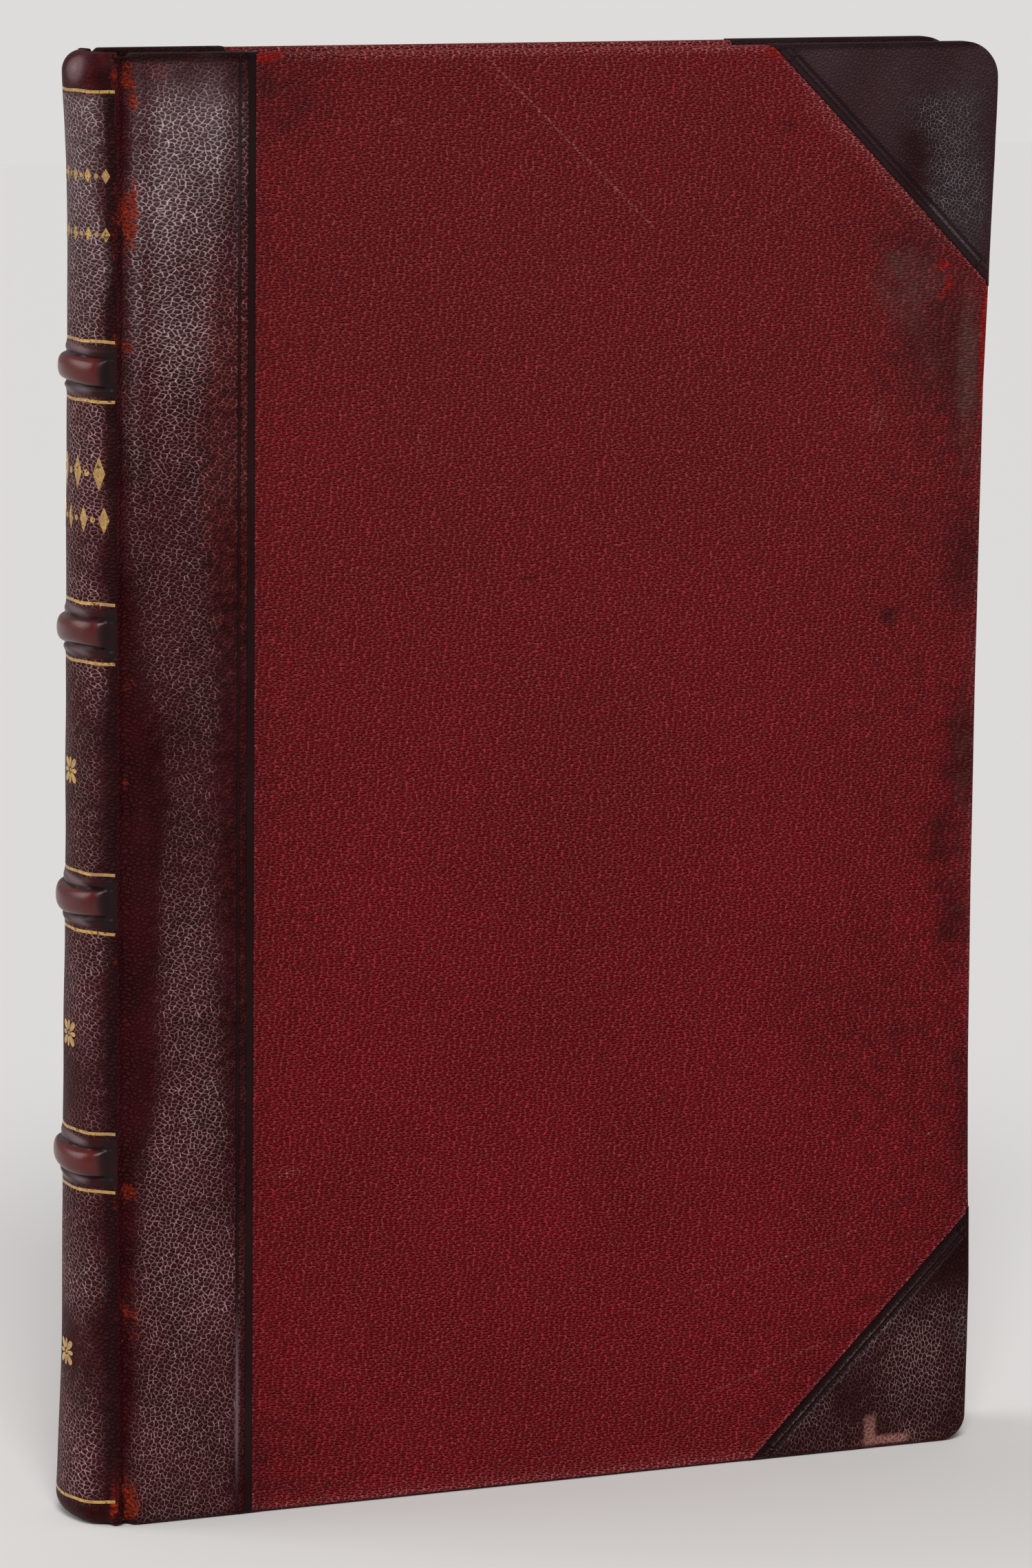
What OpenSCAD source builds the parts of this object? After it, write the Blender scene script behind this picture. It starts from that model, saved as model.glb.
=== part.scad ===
// Half-leather book of about 1900, standing on its tail with the spine to the left.
// Millimetres. X runs from the spine to the fore-edge, Y from the front cover to the back,
// Z from tail to head. The origin is under the middle of the book's box, on the surface it stands on.

/* [Covers] */
// Width of a cover, from the joint to the fore-edge
cover_w = 159; // [140:1:200]
// Height of the covers
cover_h = 250; // [230:1:300]
// Thickness of the closed book, over both covers
book_t = 20; // [16:0.5:30]
// Thickness of a millboard
board_t = 2.6; // [1.8:0.1:3.4]
// Radius of a cover's corner at the head, worn rounder than the tail's
head_corner_r = 8; // [5:0.5:12]
// Radius of a cover's corner at the tail
tail_corner_r = 4.5; // [3:0.5:8]
// Softness of the covered edges
edge_soft = 0.9; // [0.4:0.1:1.4]

/* [Coverings] */
// Thickness of the grained leather
leather_t = 0.8; // [0.5:0.05:1.2]
// Thickness of the book cloth
cloth_t = 0.4; // [0.25:0.05:0.6]
// Thickness of leather and cloth where they are pared and turned in
turn_in_t = 0.4; // [0.25:0.05:0.6]
// Width of the turn-ins inside a cover
turn_in = 14; // [9:0.5:20]
// Width of the leather strip on a cover, beside the joint
strip_w = 22.2; // [15:0.1:35]
// Leg of a leather corner, along either edge
corner_leg = 42.5; // [30:0.5:60]
// Thickness of the endpapers
paper_t = 0.2; // [0.1:0.05:0.3]
// Border of turn-in left bare around a pastedown
paste_border = 3.2; // [2:0.1:6]

/* [Tooling] */
// Width of the broad blind fillet beside the cloth
fillet_w = 1.2; // [0.6:0.1:2]
// Width of the fine blind line
line_w = 0.5; // [0.3:0.05:0.9]
// Leather left between the two, on the strip
line_gap = 1.3; // [0.6:0.1:2.5]
// Leather left between the two, on a corner
corner_gap = 0.5; // [0.3:0.1:1.5]
// Depth of the blind tooling
tool_depth = 0.15; // [0.08:0.01:0.25]
// Width of a gilt line across the spine
gilt_w = 0.5; // [0.3:0.05:0.8]
// Thickness of the gold, sunk in the leather
gilt_t = 0.1; // [0.05:0.01:0.15]
// Distance of a gilt line from the middle of its band
gilt_offset = 5; // [4.3:0.1:7]
// Gap between the head cap and the top gilt line
gilt_head = 2.7; // [0.5:0.1:6]
// Gap between the tail cap and the bottom gilt line
gilt_tail = 0.8; // [0.5:0.1:4]
// Diameter of a gilt rosette
rosette_d = 4.6; // [3:0.1:7]
// Height of the lowest rosette over the tail
rosette_tail = 29.2; // [22:0.1:40]
// How far the other rosettes sit under the middle of their panels
rosette_drop = 1; // [0:0.1:3]

/* [Spine] */
// Width of the joint, from a cover's edge to the crest of the shoulder
joint_w = 2.5; // [2:0.1:4]
// Depth of the shoulder's crest under the cover's face
shoulder_drop = 0.6; // [0.5:0.05:1]
// Rise of the rounded spine over its shoulders
spine_rise = 3.8; // [3:0.1:6]
// Thickness of the card strip under the spine's leather
inlay_t = 0.4; // [0.25:0.05:0.6]
// Thickness of one layer of the hollow paper tube
kraft_t = 0.25; // [0.15:0.05:0.35]
// Air inside the paper tube
hollow_gap = 0.25; // [0.15:0.05:0.5]
// Thickness of the gauze on the sewn spine
mull_t = 0.2; // [0.1:0.05:0.3]
// Height of the lowest raised band over the tail
tail_panel = 63.3; // [50:0.1:75]
// Depth of the top raised band under the head
head_panel = 52.6; // [40:0.1:60]
// How far the second band, set by hand, sits off its even place
band_2_off = -0.3; // [-1.5:0.1:1.5]
// How far the third band sits off its even place
band_3_off = 0.8; // [-1.5:0.1:1.5]
// Width of the strip inside a raised band
band_w = 4.2; // [3:0.1:5]
// Thickness of the strip inside a raised band
band_rise = 1.3; // [0.8:0.1:1.8]
// How far the leather cap curls in over the page ends
cap_reach = 3.4; // [2.8:0.1:4]
// Height over which the cap curls
cap_h = 3.6; // [2.8:0.1:4.4]
// Swell of the leather towards the tail, over the lowest panel
tail_swell = 1; // [0:0.1:1.2]
// Swell of the leather towards the head, over the top panel
head_swell = 0.6; // [0:0.1:1.2]

/* [Text block] */
// Overhang of the covers beyond the pages
square_w = 3; // [2.4:0.1:4]
// Hollow of the page edges at the fore-edge
fore_edge_hollow = 2.2; // [1:0.1:3.2]
// Diameter of a sewing cord
cord_d = 1.6; // [1:0.1:2.2]
// Diameter of a silk headband
headband_d = 1.9; // [1.2:0.1:2.1]
// Clearance between a cover and the pages
page_clear = 0.3; // [0.2:0.05:0.5]

/* [Hidden] */
$fn = 96;
over = 1;                              // how far a cutting body runs past the surface it cuts
hinge_gap = 0.3;                       // slit in the leather along the line where it flexes
glue_t = 0.05;                         // film of glue between two layers

// Colours of the materials
leather_colour = [0.24, 0.1, 0.1];
cloth_colour = [0.45, 0.07, 0.08];
gold_colour = [0.8, 0.62, 0.25];
board_colour = [0.5, 0.42, 0.32];
card_colour = [0.55, 0.48, 0.38];
kraft_colour = [0.6, 0.45, 0.28];
paper_colour = [0.87, 0.81, 0.68];
page_colour = [0.85, 0.78, 0.62];
gauze_colour = [0.8, 0.76, 0.62];
hemp_colour = [0.78, 0.7, 0.52];
silk_colour = [0.7, 0.55, 0.4];

// Layers of a cover, as depths under its outer face
board_in = leather_t + board_t;        // inner face of the board
turned_in = board_in + turn_in_t;      // inner face of the turn-ins
cover_t = turned_in + paper_t;         // whole thickness at the endpaper's border

// Joint: x is 0 at the edge of the cover's leather, and the hinge line lies in the groove
hinge_x = -0.36 * joint_w;
board_x = 0.6;                         // spine edge of the board
board_bevel = leather_t;               // bevel of the board's edge at the joint
groove_dip = 0.5;                      // how far the groove lies under the shoulder's crest
groove_d = shoulder_drop + groove_dip; // depth of the groove under the cover's face
groove_round = 0.15;                   // rise of the groove's sides next to its bottom
paste_gap = 0.2;                       // board left bare between an endpaper and the joint
edge_step = 0.3 * edge_soft;           // middle step of a softened edge
tool_margin = 0.1;                     // leather left between the cloth's edge and the tooling

// Round of the spine: an arc through both shoulder crests
crest_y = book_t / 2 - shoulder_drop;
spine_r = (crest_y * crest_y + spine_rise * spine_rise) / (2 * spine_rise);
spine_x = spine_r - spine_rise - joint_w;
spine_angle = asin(crest_y / spine_r);
band_flat = 0.2;                       // how far a band stands past the shoulder's crest
band_clip_y = crest_y + band_flat;     // the bands are pressed flat there

// Layers of the spine, as radii of the same arc
skin_r = spine_r - leather_t;          // under the leather
inlay_r = skin_r - inlay_t;            // under the card strip
tube_r = inlay_r - glue_t - 2 * kraft_t - hollow_gap;
block_r = tube_r - mull_t - glue_t;    // the sewn spine itself
shoulder_gap = 0.7;                    // air between the joint's leather and the pages' shoulders
block_crest_y = crest_y - leather_t - mull_t - shoulder_gap;
block_angle = asin(block_crest_y / block_r);

// How far each layer reaches round the arc, in degrees either way from the crown
inlay_angle = spine_angle - 6;
tube_angle = spine_angle - 9;
fold_angle = tube_angle - 1.5;         // the tube's folds stay closed
band_angle = spine_angle - 9;
gilt_angle = spine_angle - 1.5;
stamp_angle = spine_angle - 4;
mull_angle = block_angle - 1;
cord_angle = block_angle - 5;
headband_angle = block_angle - 6;
mull_end = 6;                          // gauze stops short of the page ends
tube_end = leather_t + turn_in + 2;    // the tube lies between the spine's turn-ins

// Text block
pages_y = book_t / 2 - cover_t - page_clear;   // outer face of the flyleaves
block_y = pages_y - paper_t;
block_x = cover_w - leather_t - square_w;
shoulder_foot = 0.3;                   // how far the shoulders end short of the board
shoulder_x = board_x - shoulder_foot;  // there the pages lie flat
fore_edge_land = 0.4;                  // flat left beside the hollow of the page edges
block_bottom = square_w;
block_top = cover_h - square_w;
block_h = block_top - block_bottom;
cord_count = 4;
cord_end = 0.75;                       // pitches from a page end to the nearest cord
cord_pitch = block_h / (cord_count - 1 + 2 * cord_end);
cord_z = [for (i = [0:cord_count - 1]) block_bottom + (i + cord_end) * cord_pitch];

// Raised bands
band_off = [0, band_2_off, band_3_off, 0];
band_count = len(band_off);
band_pitch = (cover_h - tail_panel - head_panel) / (band_count - 1);
band_z = [for (i = [0:band_count - 1]) tail_panel + i * band_pitch + band_off[i]];
band_half = band_w / 2 + 0.6 * leather_t;      // half height of a band in its leather
ramp_h = gilt_offset - gilt_w / 2 - band_half; // pressed slope beside a band
ramp_rise = 0.3 * band_rise;                   // how far that slope lifts to the band's foot
ramp_steps = 4;
tail_curve_z = band_z[0] - gilt_offset - gilt_w;
head_curve_z = band_z[band_count - 1] + gilt_offset + gilt_w;
gilt_z = concat(
    [cap_h + gilt_tail],
    [for (z = band_z, s = [-1, 1]) z + s * gilt_offset],
    [cover_h - cap_h - gilt_head]
);

// Half width of the whole book along X, to centre it on the origin
spine_reach = joint_w + spine_rise + max(band_rise, tail_swell, head_swell);
centre_x = (cover_w - spine_reach) / 2;

// Points along an ellipse's arc, from angle a0 to a1 in n steps
function arc(cx, cy, rx, ry, a0, a1, n) =
    [for (i = [0:n]) let (a = a0 + (a1 - a0) * i / n) [cx + rx * cos(a), cy + ry * sin(a)]];

// A list of points in the opposite order
function backwards(points) = [for (i = [len(points) - 1:-1:0]) points[i]];

// Placing: the shared frame, and the two sides of the book
module placed() translate([-centre_x, 0, 0]) children();
module front_side() placed() translate([0, -book_t / 2, 0]) children();
module back_side() placed() mirror([0, 1, 0]) translate([0, -book_t / 2, 0]) children();

// A flat shape drawn in X and Z, as thick as the depths y0 to y1
module plate(y0, y1) translate([0, y1, 0]) rotate([90, 0, 0]) linear_extrude(y1 - y0) children();

// Part of a turn about the spine's own upright axis, either way from the spine's crown
module round_spine(angle)
    translate([spine_x, 0, 0]) rotate([0, 0, 180 - angle]) rotate_extrude(angle = 2 * angle) children();

// What is left of a square corner outside its round
module corner_waste(r) difference() {
    square([r + over, r + over]);
    circle(r);
}

// Outline of a cover in X and Z, drawn in by inset, from x0 to the fore-edge
module cover_outline(inset, x0) difference() {
    translate([x0, inset]) square([cover_w - inset - x0, cover_h - 2 * inset]);
    translate([cover_w - head_corner_r, cover_h - head_corner_r]) corner_waste(head_corner_r - inset);
    translate([cover_w - tail_corner_r, tail_corner_r]) mirror([0, 1]) corner_waste(tail_corner_r - inset);
}

// Solid outer form of a cover wrapped in a sheet of thickness t, with softened edges
module wrapped_form(t) {
    y0 = leather_t - t;
    hull($fn = 32) {
        plate(y0, turned_in) cover_outline(y0 + edge_soft, board_x);
        plate(y0 + edge_step, turned_in - edge_step) cover_outline(y0 + edge_step, board_x);
        plate(y0 + edge_soft, turned_in - edge_soft) cover_outline(y0, board_x);
    }
}

// Form of a millboard, bevelled along the joint
module board_form() difference() {
    plate(leather_t, board_in) cover_outline(leather_t, board_x);
    translate([board_x, leather_t, -over]) linear_extrude(cover_h + 2 * over) polygon([
        [-over, -over], [board_bevel + over, -over],
        [board_bevel, 0], [0, board_bevel], [-over, board_bevel]
    ]);
}

module board() color(board_colour) board_form();

// Space inside the turn-ins
module turn_in_window() {
    window_w = cover_w - leather_t - turn_in - board_x;
    window_h = cover_h - 2 * (leather_t + turn_in);
    translate([board_x - over, board_in, leather_t + turn_in])
        cube([window_w + over, turn_in_t + over, window_h]);
}

// A sheet of thickness t drawn over the board's face and turned in over its edges
module covering(t) difference() {
    wrapped_form(t);
    board_form();
    turn_in_window();
}

// Region of a leather corner: a triangle outside, its cut carried on over the edge inside
module corner_region() {
    outer_half = leather_t + board_t / 2;
    inner_w = turn_in + leather_t;
    translate([cover_w, 0, 0]) {
        plate(-over, outer_half)
            polygon([[over, -over], [over, corner_leg + over], [-corner_leg - over, -over]]);
        plate(outer_half, turned_in + over) polygon([
            [over, -over], [over, corner_leg - over], [0, corner_leg],
            [-inner_w, corner_leg + inner_w], [-inner_w, inner_w], [-corner_leg - inner_w, inner_w],
            [-corner_leg, 0], [-corner_leg + over, -over]
        ]);
    }
}

module head_corner_region() translate([0, 0, cover_h]) mirror([0, 0, 1]) corner_region();

// A straight blind groove along a corner's slant, from d0 to d1 inside its edge
module slant_groove(d0, d1)
    translate([cover_w - corner_leg, -over, 0]) rotate([0, -45, 0])
        translate([-over, 0, -d1]) cube([corner_leg * 1.5, over + tool_depth, d1 - d0]);

// The broad fillet along the slant, and the fine line inside it
module corner_tooling() {
    line_d = tool_margin + fillet_w + corner_gap;
    slant_groove(tool_margin, tool_margin + fillet_w);
    slant_groove(line_d, line_d + line_w);
}

// Leather corners with their blind tooling
module tail_corner() color(leather_colour) difference() {
    intersection() {
        covering(leather_t);
        corner_region();
    }
    corner_tooling();
}

module head_corner() color(leather_colour) difference() {
    intersection() {
        covering(leather_t);
        head_corner_region();
    }
    translate([0, 0, cover_h]) mirror([0, 0, 1]) corner_tooling();
}

// Grained cloth between the leather strip and the corners
module cloth_side() color(cloth_colour) difference() {
    intersection() {
        covering(cloth_t);
        translate([strip_w, -over, -over]) cube([cover_w, turned_in + 2 * over, cover_h + 2 * over]);
    }
    corner_region();
    head_corner_region();
}

// Section of the leather where it leaves the cover for the joint, x and depth
lip_x = board_x + board_bevel + 0.2;   // where the leather leaves the cover's face
lip_tip_x = hinge_x + hinge_gap / 2;
lip_dip = groove_d + 0.1;              // the lip lies a little under the shoulder's leather
lip_bend_x = board_x - 0.45;
lip_outer = [
    [lip_tip_x, lip_dip], [lip_bend_x, groove_d - groove_round],
    [board_x + 0.1, groove_d - groove_round - 0.75 * leather_t], [lip_x, 0]
];
lip_inner = [
    [lip_x, leather_t], [board_x + board_bevel, leather_t], [board_x, leather_t + board_bevel],
    [board_x - shoulder_foot, lip_dip + leather_t], [lip_tip_x, lip_dip + leather_t]
];

// A straight blind groove of width w along the strip, from x on
module strip_groove(x, w) translate([x, -over, -over]) cube([w, over + tool_depth, cover_h + 2 * over]);

// Leather strip on a cover: face, turn-ins, and the lip that runs into the joint
module leather_strip() color(leather_colour) difference() {
    union() {
        difference() {
            intersection() {
                covering(leather_t);
                translate([board_x, -over, -over])
                    cube([strip_w - board_x, turned_in + 2 * over, cover_h + 2 * over]);
            }
            translate([0, 0, -over]) linear_extrude(cover_h + 2 * over)
                polygon(concat(lip_outer, [[lip_x, -over], [hinge_x, -over]]));
        }
        translate([0, 0, edge_soft / 2]) linear_extrude(cover_h - edge_soft)
            polygon(concat(lip_outer, lip_inner));
    }
    strip_groove(strip_w - tool_margin - fillet_w, fillet_w);
    strip_groove(strip_w - tool_margin - fillet_w - line_gap - line_w, line_w);
}

// Endpaper pasted inside a cover: it dips from the turn-ins on to the board
module pastedown() color(paper_colour) {
    edge_x = board_x + paste_gap;
    z0 = leather_t + turn_in;
    dip_w = cover_w - leather_t - turn_in - edge_x;
    dip_h = cover_h - 2 * z0;
    plate(board_in, board_in + paper_t) translate([edge_x, z0]) square([dip_w, dip_h]);
    plate(board_in, cover_t) difference() {
        translate([edge_x, z0]) square([dip_w, dip_h]);
        dip_opening(edge_x, z0, dip_w, dip_h);
    }
    plate(turned_in, cover_t) difference() {
        translate([edge_x, paste_border])
            square([cover_w - paste_border - edge_x, cover_h - 2 * paste_border]);
        dip_opening(edge_x, z0, dip_w, dip_h);
    }
}

// The dip's area less the paper that stands around it
module dip_opening(edge_x, z0, dip_w, dip_h)
    translate([edge_x - over, z0 + paper_t]) square([dip_w - paper_t + over, dip_h - 2 * paper_t]);

// Section of the sewn pages, seen from above: round spine, shoulders and hollow fore-edge
module page_section() {
    crest_x = spine_x - block_r * cos(block_angle);
    slope = (block_crest_y - block_y) / (shoulder_x - crest_x);
    far_y = block_crest_y + slope * block_r;
    hollow_chord = block_y - fore_edge_land;
    hollow_r = (pow(hollow_chord, 2) + pow(fore_edge_hollow, 2)) / (2 * fore_edge_hollow);
    difference() {
        intersection() {
            union() {
                translate([spine_x, 0]) circle(block_r);
                translate([crest_x + joint_w / 2, -book_t / 2]) square([block_x + over, book_t]);
            }
            polygon([
                [crest_x - block_r, -far_y], [shoulder_x, -block_y], [block_x, -block_y],
                [block_x, block_y], [shoulder_x, block_y], [crest_x - block_r, far_y]
            ]);
        }
        translate([block_x + hollow_r - fore_edge_hollow, 0]) circle(hollow_r);
    }
}

// Run of a sewing cord, or of its sawn kerf, across the backs of the sections
module cord_run() round_spine(cord_angle) translate([block_r - cord_d / 2, 0]) children();

module text_block() color(page_colour) placed() difference() {
    translate([0, 0, block_bottom]) linear_extrude(block_h) page_section();
    for (z = cord_z)
        translate([0, 0, z]) cord_run()
            translate([-cord_d / 2, -cord_d / 2]) square([cord_d + over, cord_d]);
}

module sewing_cord(i) color(hemp_colour) placed()
    translate([0, 0, cord_z[i]]) cord_run() circle(cord_d / 2, $fn = 32);

// Free leaf of an endpaper
module flyleaf() color(paper_colour)
    translate([board_x, cover_t + page_clear, block_bottom]) cube([block_x - board_x, paper_t, block_h]);

// Gauze glued over the sewn spine
module spine_mull() color(gauze_colour) placed()
    round_spine(mull_angle) translate([block_r + glue_t, block_bottom + mull_end])
        square([mull_t, block_h - 2 * mull_end]);

// Flattened paper tube that lets the spine's leather spring off the pages
module hollow_tube() color(kraft_colour) placed() difference() {
    round_spine(tube_angle) translate([tube_r, tube_end])
        square([inlay_r - glue_t - tube_r, cover_h - 2 * tube_end]);
    round_spine(fold_angle) translate([tube_r + kraft_t, tube_end - over])
        square([hollow_gap, cover_h - 2 * tube_end + 2 * over]);
}

// Card strip under the leather of the spine
module spine_inlay() color(card_colour) placed()
    round_spine(inlay_angle) translate([inlay_r, cap_h]) square([inlay_t, cover_h - 2 * cap_h]);

// Half-round strip of a raised band, as radius and height from its middle
function band_points() = arc(skin_r, 0, band_rise, band_w / 2, -90, 90, 12);

module raised_band(i) color(card_colour) placed()
    translate([0, 0, band_z[i]]) round_spine(band_angle) polygon(band_points());

// Pressed slope that climbs to a band's foot, as rise and distance from the band's middle
function ramp_points() = [
    for (i = [0:ramp_steps - 1]) let (t = i / ramp_steps)
        [spine_r + ramp_rise * pow(t, 1.5), band_half + ramp_h * (1 - t)]
];

// Leather over a band at height z: a slope on either side of the moulded bulge
function band_cover(z) = concat(
    [for (p = ramp_points()) [p[0], z - p[1]]],
    arc(spine_r + ramp_rise, z, band_rise - ramp_rise, band_half, -90, 90, 14),
    [for (p = backwards(ramp_points())) [p[0], z + p[1]]]
);

// Radius of the leather's outside between the bands: it swells towards the caps
function outer_r(z) = spine_r
    + tail_swell * pow(max(0, 1 - z / tail_curve_z), 2)
    + head_swell * pow(max(0, (z - head_curve_z) / (cover_h - head_curve_z)), 2);

// Curve of that swell between two heights
function swell_points(z0, z1) = [for (i = [0:8]) let (z = z0 + (z1 - z0) * i / 8) [outer_r(z), z]];

tail_curve = swell_points(gilt_z[0] + gilt_w, tail_curve_z);
head_curve = swell_points(head_curve_z, gilt_z[2 * band_count + 1] - gilt_w);

// Shallow seat of a gilt line, as radius and height
function gilt_seat(z) = [
    [outer_r(z), z - gilt_w / 2], [outer_r(z) - gilt_t, z - gilt_w / 2],
    [outer_r(z) - gilt_t, z + gilt_w / 2], [outer_r(z), z + gilt_w / 2]
];

// Leather cap at the tail, under a spine of radius r: it curls in and is turned in behind the card strip
function cap_points(r) = let (
    lip_t = leather_t + 0.1,
    curl_x = r - cap_reach,
    turn_x = inlay_r - turn_in_t
) concat(
    arc(curl_x, cap_h, cap_reach, cap_h, 0, -90, 10),
    arc(curl_x, lip_t / 2, lip_t / 2, lip_t / 2, 270, 100, 6),
    arc(curl_x, cap_h, turn_x - curl_x, cap_h - lip_t, -90, 0, 6)
);

// Leather of the spine with its bands, caps and joints
module spine_leather() color(leather_colour) placed() {
    turn_r = inlay_r - turn_in_t;
    turn_z = leather_t + turn_in;
    tail_cap = cap_points(outer_r(cap_h));
    head_cap = [for (p = backwards(cap_points(outer_r(cover_h - cap_h)))) [p[0], cover_h - p[1]]];
    intersection() {
        round_spine(spine_angle) polygon(concat(
            [[skin_r, cap_h], [inlay_r, cap_h], [inlay_r, turn_z], [turn_r, turn_z]],
            backwards(tail_cap),
            gilt_seat(gilt_z[0]),
            tail_curve,
            [for (i = [0:band_count - 1]) each concat(
                gilt_seat(gilt_z[2 * i + 1]), band_cover(band_z[i]), gilt_seat(gilt_z[2 * i + 2]))],
            head_curve,
            gilt_seat(gilt_z[2 * band_count + 1]),
            backwards(head_cap),
            [[turn_r, cover_h - turn_z], [inlay_r, cover_h - turn_z],
             [inlay_r, cover_h - cap_h], [skin_r, cover_h - cap_h]],
            [for (i = [band_count - 1:-1:0], p = backwards(band_points())) [p[0], p[1] + band_z[i]]]
        ));
        translate([spine_x - 2 * spine_r, -band_clip_y, -over])
            cube([2 * spine_r, 2 * band_clip_y, cover_h + 2 * over]);
    }
    for (s = [0, 1]) mirror([0, s, 0])
        translate([0, -book_t / 2, edge_soft])
            linear_extrude(cover_h - 2 * edge_soft) polygon(joint_section());
}

// Leather of the joint on the spine's side, as x and depth under the cover's face
function joint_section() = [
    [-joint_w, shoulder_drop],
    [hinge_x - 0.45 * joint_w, shoulder_drop + groove_dip / 5],
    [hinge_x - 0.2 * joint_w, groove_d - groove_round],
    [hinge_x - hinge_gap / 2, groove_d], [hinge_x - hinge_gap / 2, groove_d + leather_t],
    [hinge_x - 0.3 * joint_w, groove_d + 0.85 * leather_t],
    [spine_x - skin_r * cos(spine_angle), book_t / 2 - skin_r * sin(spine_angle)]
];

// Gold across the spine, each line in its seat
module gilt_lines() color(gold_colour) placed()
    for (z = gilt_z) round_spine(gilt_angle)
        translate([outer_r(z) - gilt_t, z - gilt_w / 2]) square([gilt_t, gilt_w]);

// Flat gold shapes laid on the spine's crown, drawn in Y and Z
module gold_leaf() placed() intersection() {
    rotate([90, 0, -90]) linear_extrude(spine_reach) children();
    round_spine(stamp_angle) polygon(concat(
        tail_curve, head_curve, [for (p = backwards(concat(tail_curve, head_curve))) [p[0] + gilt_t, p[1]]]
    ));
}

// Eight-petalled rosette of a finishing tool, every other petal shorter
module rosette_shape() polygon([
    for (a = [0:7.5:352.5])
        let (share = 0.7 + 0.22 * cos(8 * a) + 0.08 * cos(4 * a))
            rosette_d / 2 * share * [cos(a), sin(a)]
]);

// One in the lowest panel, and one a little under the middle of each of the next two
rosette_z = concat(
    [rosette_tail],
    [for (i = [0, 1]) (band_z[i] + band_z[i + 1]) / 2 - rosette_drop]
);

module gilt_rosettes() color(gold_colour) for (z = rosette_z) gold_leaf() translate([0, z]) rosette_shape();

// Silk headband: a bead sewn on the page ends at height z, following the round of the spine
module headband(z) color(silk_colour) placed()
    translate([0, 0, z]) round_spine(headband_angle)
        translate([block_r - headband_d / 2, 0]) circle(headband_d / 2, $fn = 24);

text_block();
front_side() flyleaf();  // front_flyleaf
back_side() flyleaf();  // back_flyleaf
sewing_cord(0);  // sewing_cord_1
sewing_cord(1);  // sewing_cord_2
sewing_cord(2);  // sewing_cord_3
sewing_cord(3);  // sewing_cord_4
spine_mull();
hollow_tube();
spine_inlay();
raised_band(0);  // raised_band_1
raised_band(1);  // raised_band_2
raised_band(2);  // raised_band_3
raised_band(3);  // raised_band_4
headband(block_top + headband_d / 2);  // head_band
headband(block_bottom - headband_d / 2);  // tail_band
spine_leather();
gilt_lines();
gilt_rosettes();
front_side() board();  // front_board
front_side() pastedown();  // front_pastedown
front_side() leather_strip();  // front_leather_strip
front_side() head_corner();  // front_head_corner
front_side() tail_corner();  // front_tail_corner
front_side() cloth_side();  // front_cloth_side
back_side() board();  // back_board
back_side() pastedown();  // back_pastedown
back_side() leather_strip();  // back_leather_strip
back_side() head_corner();  // back_head_corner
back_side() tail_corner();  // back_tail_corner
back_side() cloth_side();  // back_cloth_side
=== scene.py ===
import math

import bpy
import numpy as np
from mathutils import Matrix, Vector


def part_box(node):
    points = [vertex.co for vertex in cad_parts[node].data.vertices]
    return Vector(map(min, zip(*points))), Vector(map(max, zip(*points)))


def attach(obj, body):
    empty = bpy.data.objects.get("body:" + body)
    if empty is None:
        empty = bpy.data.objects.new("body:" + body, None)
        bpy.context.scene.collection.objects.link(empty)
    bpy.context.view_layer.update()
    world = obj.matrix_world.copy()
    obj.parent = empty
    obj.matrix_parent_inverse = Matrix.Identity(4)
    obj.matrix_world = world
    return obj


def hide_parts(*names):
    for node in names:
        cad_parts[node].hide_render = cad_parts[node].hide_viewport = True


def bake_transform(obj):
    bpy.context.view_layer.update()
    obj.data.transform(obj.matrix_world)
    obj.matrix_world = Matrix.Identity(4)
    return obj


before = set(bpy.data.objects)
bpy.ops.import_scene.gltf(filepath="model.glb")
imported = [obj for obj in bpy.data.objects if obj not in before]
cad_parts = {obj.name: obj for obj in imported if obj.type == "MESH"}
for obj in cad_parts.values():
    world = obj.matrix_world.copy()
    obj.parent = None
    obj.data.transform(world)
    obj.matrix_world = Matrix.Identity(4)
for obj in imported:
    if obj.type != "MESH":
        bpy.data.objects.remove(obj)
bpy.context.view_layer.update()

# Sizes are in millimetres. Book coordinates: x from a cover's spine edge to the fore-edge, z up from the
# tail, and depth from the cover's outer face into the book. Meshes go to metres in the row frame once.
MM = 0.001
ROOT2 = math.sqrt(2)


def node_box(node):
    low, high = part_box(node)
    return np.array(low) / MM, np.array(high) / MM


# What the frame gives
BOARD_SET = 0.6                     # from a cover's spine edge to its board
strip_low, strip_high = node_box("front_leather_strip")
JOINT_X = node_box("front_board")[0][0] - BOARD_SET
COVER_W = node_box("front_head_corner")[1][0] - JOINT_X
COVER_H = strip_high[2]
BOOK_T = -2 * strip_low[1]
COVER_T = strip_high[1] - strip_low[1]

# Coverings
STRIP_W = 22.2                      # leather strip beside the joint
CORNER_LEG = 42.5
HEAD_CORNER_R = 6.2
TAIL_CORNER_R = 4.5
TURN_IN = 13.0
LEATHER_EDGE = 0.95                 # round of an edge covered in leather
LEATHER_SKIN = 0.38                 # how thick the drawn leather is
SPINE_SKIN = 0.55
CLOTH_SKIN = 0.3
CLOTH_EDGE = 0.6
CLOTH_RING = 0.2 + CLOTH_EDGE       # start of the cloth's round, 0.2 inside the leather's outline
CLOTH_SINK = 0.2                    # cloth under the level of the leather
CLOTH_T = COVER_T - CLOTH_SINK
SEAM_LAP = 0.5                      # joint leather under the edge of the spine piece
JOINT_T = 1.7                       # the joint leather's fold, which has no board in it
JOINT_EDGE = 0.6
TUCK = 0.5                          # leather that runs on under the cloth
BOARD_INSET = 0.8                   # board inside the leather's outline
BOARD_DEPTHS = (0.8, 3.4)
BOW_Z = [0, 14, 30, 50, 70, 103, 140, 190, 205, 213, 230, 242, 250]
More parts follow.
